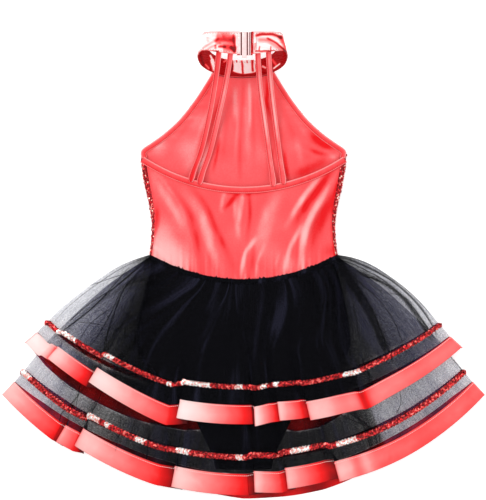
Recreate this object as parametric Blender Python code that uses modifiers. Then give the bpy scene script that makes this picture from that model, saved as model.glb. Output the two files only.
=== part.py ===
"""Ballet tutu dress, laid face down with its open back up.

Units are metres, +Z up from the surface that the dress lies on, +Y towards the collar.
Tables give millimetres. The dress is a halter bodice with an open back and four straps, a
stand-up collar with a clasp, built-in briefs and two gathered net tiers, each with a satin
ribbon hem and a sequin trim. Every piece of cloth is a thin wall of its own.
"""
import bpy
import bmesh
from math import sin, cos, asin, pi, hypot
from mathutils import Matrix, Vector

MM = 0.001
SEAM = 0.3                # gap left between pieces that are sewn together
SIDE_SEAM = 0.6           # the same where two curved edges run side by side
CLOTH = 1.0               # wall of net, lining, briefs and bindings
BODICE_WALL = 1.5         # sequinned front cloth
COLLAR_WALL = 1.6         # stiffened foil band

WAIST_SIDE_Y = -6.0       # height of the side seams' lower ends
WAIST_MID_Y = -38.0       # the waist seam dips here at the centre

# The bodice front from the waist up: side height, centre height, half width, roll, and how
# far the lining stays inside the edge.
# roll is 1 where the front cloth turns round the side, 0.5 where its edge stands up and 0
# on the flat halter.
FRONT_ROWS = [
    ("waist", WAIST_SIDE_Y, WAIST_MID_Y, 120.0, 1.0, 9.0),
    ("hip", 10.0, -12.0, 118.0, 1.0, 9.0),
    ("low_rib", 32.0, 14.0, 117.0, 1.0, 9.0),
    ("rib", 56.0, 42.0, 120.0, 1.0, 9.0),
    ("bust", 82.0, 72.0, 126.0, 1.0, 9.0),
    ("side_top", 106.0, 98.0, 130.2, 1.0, 9.0),
    ("side_turn", 117.0, 110.0, 131.4, 0.5, 6.5),
    ("underarm", 128.0, 122.0, 131.6, 0.0, 5.0),
    ("armhole_1", 138.0, 134.0, 118.0, 0.0, 1.2),
    ("armhole_2", 150.0, 147.0, 101.5, 0.0, 1.2),
    ("armhole_3", 168.0, 166.0, 82.0, 0.0, 1.2),
    ("armhole_4", 190.0, 188.0, 64.5, 0.0, 1.2),
    ("armhole_5", 210.0, 206.0, 51.0, 0.0, 1.2),
    ("neck", 229.0, 223.5, 39.0, 0.0, 1.2),
]
FRONT_COLUMNS = 12
ROLL_HEIGHT = 6.6         # height of the side fold
ROLL_REACH = 4.5          # how far the front cloth comes back over the top

LINING_FIRST_ROW = "bust"  # the lining shows only above the back's top edge
LINING_WAVES = 4
LINING_COLUMNS = 16
LINING_WAVE_HEIGHT = 1.0

# The back panel from the waist to its scooped top: side height, centre height, half width.
BACK_ROWS = [
    (WAIST_SIDE_Y, WAIST_MID_Y, 120.0),
    (4.0, -24.0, 118.6),
    (18.0, -6.0, 117.4),
    (36.0, 14.0, 117.4),
    (56.0, 32.0, 120.0),
    (76.0, 48.0, 124.4),
    (96.0, 62.0, 128.0),
    (113.0, 74.0, 130.6),
    (121.0, 80.5, 131.4),
]
BACK_COLUMNS = 24
BACK_STEPS = 12
BACK_LEVEL = 6.4          # underside of the back at its seams
BACK_DOME = 2.2           # the middle stands this much higher

# Soft ridges of the back panel: from (x, y) to (x, y), half width and height.
BACK_RIDGES = [
    (-104, 92, -34, -22, 13, 2.6),
    (-118, 70, -88, 6, 10, 1.8),
    (110, 84, 48, -14, 9, 3.0),
    (96, 92, 28, 10, 11, 2.2),
    (82, 26, 66, -22, 7, 1.8),
    (2, 74, -6, 40, 7, 1.4),
    (-16, 70, -34, 48, 6, 1.0),
    (12, 14, 2, -30, 6, 1.2),
]

# The fan of each tier: share of its length, side height, centre height, half width.
UPPER_FAN = [
    (0.00, WAIST_SIDE_Y - 0.4, WAIST_MID_Y - 0.4, 120.0),
    (0.10, -11.5, -57.0, 137.0),
    (0.22, -24.0, -78.0, 165.0),
    (0.43, -52.0, -118.0, 205.0),
    (0.60, -76.0, -149.0, 233.5),
    (0.72, -94.0, -171.0, 249.5),
    (0.765, -99.5, -179.5, 254.0),
    (0.82, -106.0, -189.4, 260.0),
    (0.87, -112.5, -199.0, 265.5),
    (1.00, -126.5, -224.0, 280.5),
]
LOWER_FAN = [
    (0.00, WAIST_SIDE_Y - 1.3, WAIST_MID_Y - 0.5, 118.6),
    (0.08, -16.0, -61.0, 131.5),
    (0.16, -27.0, -84.0, 149.0),
    (0.30, -49.0, -122.0, 179.0),
    (0.50, -85.0, -175.0, 219.0),
    (0.69, -123.0, -225.0, 257.0),
    (0.76, -139.0, -245.0, 269.0),
    (0.825, -154.5, -262.5, 281.5),
    (0.855, -160.5, -271.0, 286.5),
    (0.88, -165.7, -279.5, 291.0),
    (0.905, -171.0, -288.5, 295.5),
    (1.00, -188.0, -317.0, 311.5),
]

# Height of each layer's underside by share of its own tier's length.
UPPER_FRONT_LEVEL = [(0, 0.0), (0.22, 1.4), (0.765, 1.4), (0.87, 0.0), (1, 0.0)]
UPPER_BACK_LEVEL = [(0, 6.5), (0.10, 9.6), (0.22, 12.4), (0.43, 14.8), (0.72, 15.9), (1, 17.0)]
LOWER_FRONT_LEVEL = [(0, 1.3), (0.08, 3.2), (0.16, 4.3), (0.30, 5.4), (0.76, 5.4), (0.825, 1.7),
                     (0.855, 1.6), (0.905, 0.0), (1, 0.0)]
LOWER_BACK_LEVEL = [(0, 5.2), (0.08, 8.0), (0.16, 9.8), (0.30, 11.9), (0.76, 11.9),
                    (0.905, 9.0), (1, 6.2)]
BRIEFS_LEVEL = [(0, 2.6), (0.08, 5.4), (0.16, 7.0), (0.30, 9.2), (0.76, 9.2), (0.90, 6.2)]

# Pleats along the back hem of each tier: left edge, tuck behind it, height, and how far
# before the next edge the cloth sinks.
UPPER_BACK_PLEATS = [
    (-250, 7, 3.6, 10),
    (-196, 8, 4.4, 10),
    (-83, 9, 4.6, 24),
    (16, 7, 4.0, 9),
    (48, 7, 4.4, 13),
    (88, 8, 4.2, 13),
]
LOWER_BACK_PLEATS = [
    (-241, 6, 3.4, 9),
    (-215, 7, 4.0, 10),
    (-90, 9, 4.4, 30),
    (16, 8, 4.0, 16),
    (59, 7, 4.2, 12),
    (126, 9, 4.4, 22),
]
# How far the front hems hang below their arcs, from the left side to the right.
UPPER_FRONT_DROP = [(-1, 0), (-0.8, 4), (-0.4, 9), (-0.1, 6), (0.12, 5), (0.28, 12), (0.42, 5),
                    (0.7, 1), (1, 0)]
LOWER_FRONT_DROP = [(-1, 0), (-0.85, -8), (-0.5, -12), (-0.2, -3), (0, 5), (0.3, 6), (0.42, 2),
                    (0.6, -7), (0.85, -8), (1, 0)]
UPPER_FRONT_WAVES = 9
LOWER_FRONT_WAVES = 11
FRONT_WAVE_HEIGHT = 2.2
GATHER_HEIGHT = 1.2
FRONT_COLUMNS_TIER = 26
DROP_FROM = 0.45          # share of a tier's length at which its front hem's drop sets in
SIDE_TAPER = 0.45         # the tiers are this much lower at their sides
SIDE_BULGE = 0.3          # and round out there by this share of their height

UPPER_RIBBON_FROM = 0.87
LOWER_RIBBON_FROM = 0.905
UPPER_TRIM = (0.72, 0.765)
LOWER_TRIM = (0.825, 0.855)
TRIM_WALL = 0.9

# Briefs: height at the side, height at the centre, half width, by rows from the waist.
BRIEFS_ROWS = [
    (WAIST_SIDE_Y - 2.2, WAIST_MID_Y - 0.5, 117.0),
    (-30.0, -62.0, 122.0),
    (-60.0, -92.0, 129.0),
    (-95.0, -120.0, 136.0),
    (-128.0, -142.0, 137.0),
    (-150.0, -158.0, 121.0),
    (-176.0, -180.0, 92.0),
    (-208.0, -209.0, 68.0),
    (-240.0, -240.0, 52.0),
    (-264.0, -264.0, 41.0),
    (-283.0, -284.0, 36.0),
]
BRIEFS_COLUMNS = 10

# Straps: name, x at five shares of the way from the collar to the back's top edge, the end's
# y, and the top end's height just under the collar.
STRAPS = [
    ("strap_left_outer", (-31.0, -36.5, -44.5, -54.5, -68.0), 88.0, 53.2),
    ("strap_left_inner", (-16.0, -23.0, -33.0, -43.5, -57.0), 84.5, 54.6),
    ("strap_right_inner", (18.0, 21.0, 27.0, 33.0, 38.5), 82.0, 54.5),
    ("strap_right_outer", (31.5, 35.0, 40.5, 46.0, 51.5), 84.5, 53.2),
]
STRAP_TOP_Y = 254.0
STRAP_HEIGHTS = (29.0, 12.5, 6.2, 4.9)     # the rest of the way down
STRAP_WIDTH = 7.0
STRAP_STEPS = 14

# The collar's two edges by angle from the front: angle, half width, y and z of each edge.
COLLAR_EDGES = [
    (0, 0.0, 225.0, 2.6, 0.0, 243.0, 23.0),
    (24, 25.0, 227.0, 3.4, 22.0, 244.5, 24.5),
    (45, 43.0, 232.0, 7.0, 37.0, 250.0, 28.5),
    (66, 54.5, 239.5, 15.5, 46.0, 258.5, 35.5),
    (90, 57.2, 247.5, 30.0, 50.5, 268.0, 45.0),
    (114, 53.5, 252.5, 45.0, 49.5, 274.5, 54.0),
    (138, 40.0, 251.5, 54.0, 42.0, 276.0, 57.4),
    (160, 19.5, 248.5, 56.6, 20.5, 276.0, 58.0),
    (180, 0.0, 247.0, 57.0, 0.0, 276.0, 58.0),
]
COLLAR_SHIFT = -1.2       # the ring stands this far to the side
COLLAR_STEPS = 44
COLLAR_LEFT_END = -175.2  # the angles where the band stops on each side of the clasp
COLLAR_RIGHT_END = 168.2
CLASP_HOOK = ("clasp_hook", -4.2, 4.4)     # name, left and right side
CLASP_EYE = ("clasp_eye", 4.9, 9.0)
CLASP_THICKNESS = 2.2
CLASP_Y = (245.5, 276.0)
CLASP_BEVEL = 0.7

BINDING_WIDTH = 7.0
NECK_BINDING_WIDTH = 8.5

CORAL = (0.90, 0.10, 0.11, 1)
LINING_CORAL = (0.92, 0.16, 0.17, 1)
RIBBON_CORAL = (0.93, 0.14, 0.14, 1)
SEQUIN_RED = (0.55, 0.01, 0.02, 1)
NET_BLACK = (0.02, 0.02, 0.025, 1)
BRIEFS_BLACK = (0.008, 0.008, 0.012, 1)
FOIL_RED = (0.90, 0.22, 0.22, 1)
CLASP_PINK = (0.95, 0.78, 0.76, 1)


def clear_scene():
    for old in list(bpy.data.objects):
        bpy.data.objects.remove(old, do_unlink=True)


def dress_collection():
    group = bpy.data.collections.new("ballet_tutu_dress")
    bpy.context.scene.collection.children.link(group)
    return group


def finish(name, colour, roughness, metallic=0.0):
    material = bpy.data.materials.new(name + "_finish")
    material.use_nodes = True
    shader = material.node_tree.nodes["Principled BSDF"]
    shader.inputs["Base Color"].default_value = colour
    shader.inputs["Roughness"].default_value = roughness
    shader.inputs["Metallic"].default_value = metallic
    return material


def table_value(table, share, column=1):
    """Read one column of a table by its first column, straight between its rows."""
    for low, high in zip(table, table[1:]):
        if share <= high[0]:
            mix = (share - low[0]) / (high[0] - low[0])
            return low[column] + (high[column] - low[column]) * mix
    return table[-1][column]


def smooth(share):
    share = min(max(share, 0.0), 1.0)
    return share * share * (3 - 2 * share)


def curve_value(values, share):
    """A smooth curve through evenly spaced values."""
    place = share * (len(values) - 1)
    first = min(int(place), len(values) - 2)
    mix = place - first
    before = values[max(first - 1, 0)]
    after = values[min(first + 2, len(values) - 1)]
    low, high = values[first], values[first + 1]
    bend = (high - before) * mix + (2 * before - 5 * low + 4 * high - after) * mix ** 2
    return low + 0.5 * (bend + (3 * low - before - 3 * high + after) * mix ** 3)


def grid_faces(mesh, rows, closed):
    """Join a grid of points with quads; closed joins the last column to the first."""
    grid = [[mesh.verts.new(Vector(point) * MM) for point in row] for row in rows]
    columns = len(rows[0])
    last = columns if closed else columns - 1
    for low, high in zip(grid, grid[1:]):
        for col in range(last):
            right = (col + 1) % columns
            mesh.faces.new((low[col], low[right], high[right], high[col]))
    return grid


def add_object(name, mesh, material, group):
    data = bpy.data.meshes.new(name)
    mesh.to_mesh(data)
    mesh.free()
    data.materials.append(material)
    piece = bpy.data.objects.new(name, data)
    group.objects.link(piece)
    return piece


def cloth(name, rows, wall, material, group, closed=False, shift=0.0):
    """A sheet of cloth: an open surface given its wall by Solidify."""
    mesh = bmesh.new()
    grid_faces(mesh, rows, closed)
    bmesh.ops.triangulate(mesh, faces=mesh.faces)
    piece = add_object(name, mesh, material, group)
    piece.data.shade_smooth()
    wall_maker = piece.modifiers.new("wall", "SOLIDIFY")
    wall_maker.thickness = wall * MM
    wall_maker.offset = shift
    wall_maker.use_even_offset = False
    return piece


def swept(name, path, sideways, outline, material, group):
    """Carry an outline of (sideways, up) points along a path and cap both ends."""
    mesh = bmesh.new()
    rows = [[Vector(point) + side * across + Vector((0, 0, up)) for across, up in outline]
            for point, side in zip(path, sideways)]
    grid = grid_faces(mesh, rows, True)
    mesh.faces.new(grid[0][::-1])
    mesh.faces.new(grid[-1])
    bmesh.ops.recalc_face_normals(mesh, faces=mesh.faces)
    bmesh.ops.triangulate(mesh, faces=[f for f in mesh.faces if len(f.verts) > 4])
    return add_object(name, mesh, material, group)


def arc_point(side_y, mid_y, half, across):
    """A point on the arc through both sides and the centre; across runs from -1 to 1."""
    sag = side_y - mid_y
    if abs(sag) < 0.5:
        return Vector((half * across, mid_y, 0))
    radius = (half * half + sag * sag) / (2 * sag)
    turn = across * asin(min(half / radius, 1.0)) if sag < half else across * pi / 2
    return Vector((radius * sin(turn), mid_y + radius * (1 - cos(turn)), 0))


def arc_side(side_y, mid_y, half, across):
    """The direction along that arc."""
    step = 0.002
    ahead = arc_point(side_y, mid_y, half, min(across + step, 1.0))
    behind = arc_point(side_y, mid_y, half, max(across - step, -1.0))
    return (ahead - behind).normalized()


def ridge_height(x, y, ridges):
    """Sum of soft ridges, each a rounded line that fades at its ends."""
    height = 0.0
    for x0, y0, x1, y1, reach, tall in ridges:
        along = Vector((x1 - x0, y1 - y0))
        share = ((x - x0) * along.x + (y - y0) * along.y) / along.length_squared
        near = min(max(share, 0.0), 1.0)
        gap = hypot(x - x0 - along.x * near, y - y0 - along.y * near)
        if gap < reach:
            height += tall * (0.5 + 0.5 * cos(pi * gap / reach)) * (0.35 + 0.65 * sin(pi * near))
    return height


def arc_height(side_y, mid_y, half, x):
    """Height of the arc through both sides and the centre at one x."""
    sag = side_y - mid_y
    radius = (half * half + sag * sag) / (2 * sag)
    return mid_y + radius - (radius * radius - min(abs(x), half) ** 2) ** 0.5


def front_row(side_y, mid_y, half, roll):
    """One section of the front cloth, from seam to seam round the floor side."""
    floor = BODICE_WALL / 2
    turned = [(half - ROLL_REACH, ROLL_HEIGHT), (half - 0.6, ROLL_HEIGHT - 0.5),
              (half + 0.9, ROLL_HEIGHT * 0.58), (half - 0.2, floor + 0.9)]
    upright = [(half + 0.2, 6.4), (half + 0.4, 4.3), (half - 0.2, 2.3), (half - 2.4, floor + 0.2)]
    flat = [(half, floor), (half - 2.4, floor), (half - 4.8, floor), (half - 7.0, floor)]
    start, end, mix = (flat, upright, roll * 2) if roll <= 0.5 else (upright, turned, roll * 2 - 1)
    edge = [(f[0] + (t[0] - f[0]) * mix, f[1] + (t[1] - f[1]) * mix)
            for t, f in zip(end, start)]
    inner = half - 9.5
    bed = [(inner * (1 - 2 * k / FRONT_COLUMNS), floor) for k in range(FRONT_COLUMNS + 1)]
    right = edge + bed
    section = right + [(-x, z) for x, z in edge[::-1]]
    return [(x, arc_height(side_y, mid_y, half, x), z) for x, z in section]


def front_bodice(group):
    rows = [front_row(side_y, mid_y, half, roll)
            for _, side_y, mid_y, half, roll, _ in FRONT_ROWS]
    material = finish("front_bodice", SEQUIN_RED, 0.35, 0.4)
    return cloth("front_bodice", rows, BODICE_WALL, material, group)


def front_lining(group):
    names = [row[0] for row in FRONT_ROWS]
    level = BODICE_WALL + SEAM + CLOTH / 2
    rows = []
    for _, side_y, mid_y, half, _, inset in FRONT_ROWS[names.index(LINING_FIRST_ROW):]:
        reach = half - inset
        row = []
        for k in range(LINING_COLUMNS + 1):
            across = -1 + 2 * k / LINING_COLUMNS
            wave = (0.5 - 0.5 * cos(pi * LINING_WAVES * (across + 1))) * (1 - across ** 4)
            lift = LINING_WAVE_HEIGHT * wave * smooth((mid_y - 100.0) / 30.0)
            x = reach * across
            row.append((x, arc_height(side_y, mid_y, half, x), level + lift))
        rows.append(row)
    return cloth("front_lining", rows, CLOTH, finish("front_lining", LINING_CORAL, 0.6), group)


def back_height(x, y, across, share):
    edge = smooth(min((1 - abs(across)) / 0.16, share / 0.12, (0.9 - share) / 0.15))
    dome = BACK_DOME * (1 - across ** 4) * smooth(share / 0.3)
    return BACK_LEVEL + CLOTH / 2 + dome + edge * ridge_height(x, y, BACK_RIDGES)


def back_point(share, across):
    """A point of the back panel: share runs from the waist to the scooped top."""
    place = share * (len(BACK_ROWS) - 1)
    row = min(int(place), len(BACK_ROWS) - 2)
    mix = place - row
    side_y, mid_y, half = (low + (high - low) * mix
                           for low, high in zip(BACK_ROWS[row], BACK_ROWS[row + 1]))
    x = (half - ROLL_REACH - SIDE_SEAM) * across
    y = arc_height(side_y, mid_y, half, x)
    return Vector((x, y, back_height(x, y, across, share)))


def back_bodice(group):
    rows = [[back_point(step / BACK_STEPS, 1 - 2 * k / BACK_COLUMNS)
             for k in range(BACK_COLUMNS + 1)] for step in range(BACK_STEPS + 1)]
    return cloth("back_bodice", rows, CLOTH, finish("back_bodice", CORAL, 0.5), group)


def edge_directions(path):
    """Level directions at right angles to a path, to its right."""
    sides = []
    for k in range(len(path)):
        ahead = path[min(k + 1, len(path) - 1)] - path[max(k - 1, 0)]
        sides.append(Vector((ahead.y, -ahead.x, 0)).normalized())
    return sides


def folded_binding(name, path, width, lap, group):
    """A binding folded over an edge: it lies on the cloth and turns down outside it.

    The path is the cloth's top edge, with the cloth on its left. lap is the drop outside."""
    sides = edge_directions(path)
    out = SEAM
    outline = [(-width, SEAM), (out, SEAM), (out, -lap), (out + CLOTH, -lap),
               (out + CLOTH, SEAM + CLOTH), (-width, SEAM + CLOTH)]
    return swept(name, path, sides, outline, finish(name, CORAL, 0.5), group)


def armhole_path(side):
    """The halter's side edge at the lining's top, with the cloth on its left."""
    top = BODICE_WALL + SEAM + CLOTH
    edge = [Vector((side * half, side_y, top))
            for _, side_y, _, half, roll, _ in FRONT_ROWS if roll == 0.0]
    edge[0] = edge[0].lerp(edge[1], 0.12)
    return edge if side > 0 else edge[::-1]


def armhole_bindings(group):
    lap = BODICE_WALL + SEAM + CLOTH - 0.1
    for name, side in (("armhole_binding_left", -1), ("armhole_binding_right", 1)):
        folded_binding(name, armhole_path(side), BINDING_WIDTH - CLOTH, lap, group)


def back_neck_binding(group):
    steps = 28
    path = []
    for k in range(steps + 1):
        edge = back_point(1.0, 0.985 - 1.97 * k / steps)
        path.append(edge + Vector((0, 0, CLOTH / 2 + 0.15)))
    folded_binding("back_neck_binding", path, NECK_BINDING_WIDTH - CLOTH, CLOTH, group)


def strap(name, places, end_y, top, group):
    path = []
    for k in range(STRAP_STEPS + 1):
        share = k / STRAP_STEPS
        path.append(Vector((curve_value(places, share),
                            STRAP_TOP_Y + (end_y - STRAP_TOP_Y) * share,
                            curve_value((top,) + STRAP_HEIGHTS, share))))
    half = STRAP_WIDTH / 2
    outline = [(-half, 0), (half, 0), (half, CLOTH), (-half, CLOTH)]
    swept(name, path, edge_directions(path), outline, finish(name, CORAL, 0.45), group)


def collar_edge(angle, first_column, side):
    half = collar_column(angle, first_column)
    y = collar_column(angle, first_column + 1)
    z = collar_column(angle, first_column + 2)
    return Vector((side * half + COLLAR_SHIFT, y, z))


def collar_column(angle, column):
    """A smooth reading of the collar's table."""
    angles = [row[0] for row in COLLAR_EDGES]
    values = [row[column] for row in COLLAR_EDGES]
    for k in range(len(angles) - 1):
        if angle <= angles[k + 1]:
            mix = (angle - angles[k]) / (angles[k + 1] - angles[k])
            return curve_value(values, (k + mix) / (len(angles) - 1))
    return values[-1]


def collar_band(group):
    """The foil band from the clasp's left side, round the front, to its right side."""
    rows = [[], [], []]
    for k in range(COLLAR_STEPS + 1):
        turn = COLLAR_LEFT_END + (COLLAR_RIGHT_END - COLLAR_LEFT_END) * k / COLLAR_STEPS
        side = -1 if turn < 0 else 1
        low = collar_edge(abs(turn), 1, side)
        high = collar_edge(abs(turn), 4, side)
        for row, share in zip(rows, (0.0, 0.5, 1.0)):
            row.append(low.lerp(high, share))
    material = finish("collar_band", FOIL_RED, 0.18, 0.85)
    return cloth("collar_band", rows, COLLAR_WALL, material, group)


def clasp_bar(name, left, right, group):
    bpy.ops.mesh.primitive_cube_add(size=1)
    bar = bpy.context.object
    for holder in list(bar.users_collection):
        holder.objects.unlink(bar)
    group.objects.link(bar)
    bar.name = name
    low, high = CLASP_Y
    level = 57.4
    size = Vector((right - left, high - low, CLASP_THICKNESS)) * MM
    bar.data.transform(Matrix.Diagonal((*size, 1)))
    bar.location = Vector(((left + right) / 2, (low + high) / 2, level)) * MM
    bar.data.materials.append(finish(name, CLASP_PINK, 0.3))
    edges = bar.modifiers.new("rounded", "BEVEL")
    edges.width = CLASP_BEVEL * MM
    edges.segments = 2
    return bar


def pleat_columns(pleats, half):
    """Columns of a pleated half from left to right.

    Each is its hem place, its shift where the pleat is a slope, its shift where the pleat is
    tucked, its height in both cases as a share, and the pleat's height."""
    first, last = pleats[0], pleats[-1]
    columns = [(-half, 0, 0, 0.0, 0.0, 0.0), (-half * 0.985, 0, 0, 0.2, 0.2, first[2]),
               ((first[0] - half) / 2, 0, 0, 0.55, 0.55, first[2])]
    for number, (edge, tuck, tall, sink) in enumerate(pleats):
        columns += [
            (edge - sink, -0.3 * tuck, 0, 0.6, 0.6, tall),
            (edge - sink * 0.5, -0.6 * tuck, 0, 0.2, 0.12, tall),
            (edge, -1.0 * tuck, tuck, 0.02, 0.0, tall),
            (edge, -0.7 * tuck, tuck, 0.33, 0.44, tall),
            (edge, -0.35 * tuck, 0, 0.67, 0.54, tall),
            (edge, 0, 0, 1.0, 1.0, tall),
        ]
        if number + 1 < len(pleats):
            following, _, _, sink_next = pleats[number + 1]
            columns.append((edge + (following - sink_next - edge) * 0.4, 0, 0, 0.9, 0.9, tall))
    for share, height in ((0.3, 0.8), (0.6, 0.6), (0.88, 0.3), (1.0, 0.0)):
        columns.append((last[0] + (half - last[0]) * share, 0, 0, height, height, last[2]))
    return columns


def pleated_back(fan, heights, pleats, opened, share):
    """The back half of a section as pairs: the place across, and the height."""
    low, high = heights
    _, hem_side, hem_mid, hem_half = fan[-1]
    hem_sag = hem_side - hem_mid
    hem_radius = (hem_half * hem_half + hem_sag * hem_sag) / (2 * hem_sag)
    columns = pleat_columns(pleats, hem_half)
    pleated = smooth(share / 0.55)
    grown = smooth(share / 0.85)
    gathered = (1 - pleated) * smooth(share / 0.08)
    widest = asin(hem_half / hem_radius)
    back = []
    for k, (place, slope, tucked, slope_level, tuck_level, tall) in enumerate(columns):
        even = -1 + 2 * k / (len(columns) - 1)
        hem_place = asin((place + slope + (tucked - slope) * opened) / hem_radius) / widest
        across = min(max(even + (hem_place - even) * pleated, -1.0), 1.0)
        sunk = 1 - SIDE_TAPER * abs(across) ** 12 * smooth(share / 0.15)
        rise = (slope_level + (tuck_level - slope_level) * opened) * tall * grown
        ripple = GATHER_HEIGHT * gathered * (0.5 - 0.5 * cos(pi * k / 2)) * (1 - across ** 8)
        back.append((across, low + (high - low) * sunk + rise + ripple))
    return back


def tier_section(fan, levels, pleats, waves, front_drop, tuck_from, ribbon_from, share):
    """One section of a flattened tier: its back from left to right, then its front.

    Each entry is a point and the level direction along the section towards +X."""
    arc = [table_value(fan, share, column) for column in (1, 2, 3)]
    low, high = (table_value(level, share) + CLOTH / 2 for level in levels)
    opened = table_value([(0, 0), (tuck_from, 0), (ribbon_from, 0.5), (1, 1)], share)
    hang = smooth((share - DROP_FROM) / (1 - DROP_FROM))
    entries = []

    def place(across, z, out=0.0, drop=0.0):
        spot = arc_point(*arc, across)
        point = Vector((spot.x + out, spot.y - drop * hang, z))
        entries.append((point, arc_side(*arc, across)))

    back = pleated_back(fan, (low, high), pleats, opened, share)
    for across, z in back:
        place(across, z)
    middle = (back[-1][1] + low) / 2
    bulge = SIDE_BULGE * (back[-1][1] - low)
    place(1.0, middle, bulge)
    wave_height = FRONT_WAVE_HEIGHT * smooth(share / 0.5)
    for k in range(FRONT_COLUMNS_TIER + 1):
        across = 1 - 2 * k / FRONT_COLUMNS_TIER
        wave = (0.5 - 0.5 * cos(pi * waves * (across + 1))) * (1 - across ** 10)
        place(across, low + wave_height * wave, drop=table_value(front_drop, across))
    place(-1.0, middle, -bulge)
    return entries


def points_of(entries):
    return [point for point, _ in entries]


def moved_out(entries, distance):
    """Move a closed section outwards along its own normals."""
    count = len(entries)
    moved = []
    for k, (point, level) in enumerate(entries):
        before = (point - entries[k - 1][0]).normalized()
        after = (entries[(k + 1) % count][0] - point).normalized()
        along = (before + after).normalized()
        normal = (Vector((0, 0, along.dot(level))) - level * along.z).normalized()
        moved.append(point + normal * distance / max(before.dot(along), 0.75))
    return moved


def shares_between(fan, first, last):
    inside = [row[0] for row in fan if first + 0.001 < row[0] < last - 0.001]
    return [first] + inside + [last]


def tier(prefix, fan, levels, pleats, waves, front_drop, ribbon_from, trim, group):
    """A net tier with its ribbon hem and its sequin trim."""
    length = fan[0][2] - fan[-1][2]
    gap = SEAM / length

    def section(share):
        return tier_section(fan, levels, pleats, waves, front_drop, trim[1], ribbon_from,
                            share)

    net = [points_of(section(share)) for share in shares_between(fan, 0.0, ribbon_from)]
    cloth(prefix + "_tier", net, CLOTH, finish(prefix + "_tier", NET_BLACK, 0.8), group, True)
    ribbon_shares = (ribbon_from + gap, (ribbon_from + 1) / 2, 1.0)
    ribbon = [points_of(section(share)) for share in ribbon_shares]
    satin = finish(prefix + "_ribbon", RIBBON_CORAL, 0.3)
    cloth(prefix + "_ribbon", ribbon, CLOTH, satin, group, True)
    lift = CLOTH / 2 + SEAM + TRIM_WALL / 2
    trim_rows = [moved_out(section(share), lift) for share in trim]
    glitter = finish(prefix + "_sequin_trim", SEQUIN_RED, 0.25, 0.5)
    cloth(prefix + "_sequin_trim", trim_rows, TRIM_WALL, glitter, group, True)


def share_at(x, y):
    """How far down the lower tier a point lies, as a share of the tier's length."""
    low, high = 0.0, 1.0
    for _ in range(20):
        middle = (low + high) / 2
        side_y, mid_y, half = (table_value(LOWER_FAN, middle, column) for column in (1, 2, 3))
        sag = side_y - mid_y
        radius = (half * half + sag * sag) / (2 * sag)
        if hypot(x, y - mid_y - radius) > radius:
            low = middle
        else:
            high = middle
    return low


def briefs(name, lift, narrower, group):
    rows = []
    for side_y, mid_y, half in BRIEFS_ROWS:
        reach = half - narrower
        row = []
        for k in range(BRIEFS_COLUMNS + 1):
            across = 1 - 2 * k / BRIEFS_COLUMNS
            x = reach * across
            y = mid_y + (side_y - mid_y) * across ** 2
            if len(rows) == 0:
                y = arc_height(side_y, mid_y, half, x)
            z = table_value(BRIEFS_LEVEL, share_at(x, y)) + lift + CLOTH / 2
            row.append((x, y, z))
        rows.append(row)
    cloth(name, rows, CLOTH, finish(name, BRIEFS_BLACK, 0.7), group)


def centre_on_origin(group):
    """Move every mesh so that the dress stands centred over the origin."""
    bpy.context.view_layer.update()
    depsgraph = bpy.context.evaluated_depsgraph_get()
    corners = []
    for piece in group.objects:
        shape = piece.evaluated_get(depsgraph)
        corners += [piece.matrix_world @ vert.co for vert in shape.data.vertices]
    low = Vector(min(point[axis] for point in corners) for axis in range(3))
    high = Vector(max(point[axis] for point in corners) for axis in range(3))
    shift = Vector((-(low.x + high.x) / 2, -(low.y + high.y) / 2, -low.z))
    for piece in group.objects:
        piece.location += shift


def build():
    clear_scene()
    group = dress_collection()
    front_bodice(group)
    front_lining(group)
    back_bodice(group)
    armhole_bindings(group)
    back_neck_binding(group)
    for name, places, end_y, top in STRAPS:
        strap(name, places, end_y, top, group)
    collar_band(group)
    for name, left, right in (CLASP_HOOK, CLASP_EYE):
        clasp_bar(name, left, right, group)
    briefs("briefs_front", 0.0, 4.0, group)
    briefs("briefs_back", CLOTH + SEAM, 0.0, group)
    tier("upper", UPPER_FAN, (UPPER_FRONT_LEVEL, UPPER_BACK_LEVEL), UPPER_BACK_PLEATS,
         UPPER_FRONT_WAVES, UPPER_FRONT_DROP, UPPER_RIBBON_FROM, UPPER_TRIM, group)
    tier("lower", LOWER_FAN, (LOWER_FRONT_LEVEL, LOWER_BACK_LEVEL), LOWER_BACK_PLEATS,
         LOWER_FRONT_WAVES, LOWER_FRONT_DROP, LOWER_RIBBON_FROM, LOWER_TRIM, group)
    centre_on_origin(group)


build()
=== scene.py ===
"""Looks of a child's ballet tutu dress that lies face down, with its open back up.

The frame holds the solids in metres. Tables here are in millimetres in the pattern's own
frame: x across, y from about the waist towards the collar, z up from the floor. A tier's
places across it run from -1 at its left side to 1 at its right.
"""
import random
from collections import namedtuple
from math import asin, cos, exp, hypot, pi, sin

import bpy
import bmesh
from mathutils import Matrix, Vector, noise
from mathutils.bvhtree import BVHTree


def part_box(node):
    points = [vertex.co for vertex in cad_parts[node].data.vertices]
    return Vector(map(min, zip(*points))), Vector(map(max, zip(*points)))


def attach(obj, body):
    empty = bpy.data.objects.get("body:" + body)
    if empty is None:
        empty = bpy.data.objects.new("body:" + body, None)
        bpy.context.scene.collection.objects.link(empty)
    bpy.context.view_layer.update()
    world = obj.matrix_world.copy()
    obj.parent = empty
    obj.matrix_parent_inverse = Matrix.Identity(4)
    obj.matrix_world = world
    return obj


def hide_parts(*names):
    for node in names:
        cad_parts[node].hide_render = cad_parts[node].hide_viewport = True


bl_info = {
    "name": "Ballet tutu dress",
    "version": (1, 0, 0),
    "blender": (4, 5, 0),
    "location": "View3D > Sidebar > Tutu",
    "description": "Cloth, net, ribbons, sequins and collar of a child's tutu dress",
    "category": "Object",
}

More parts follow.
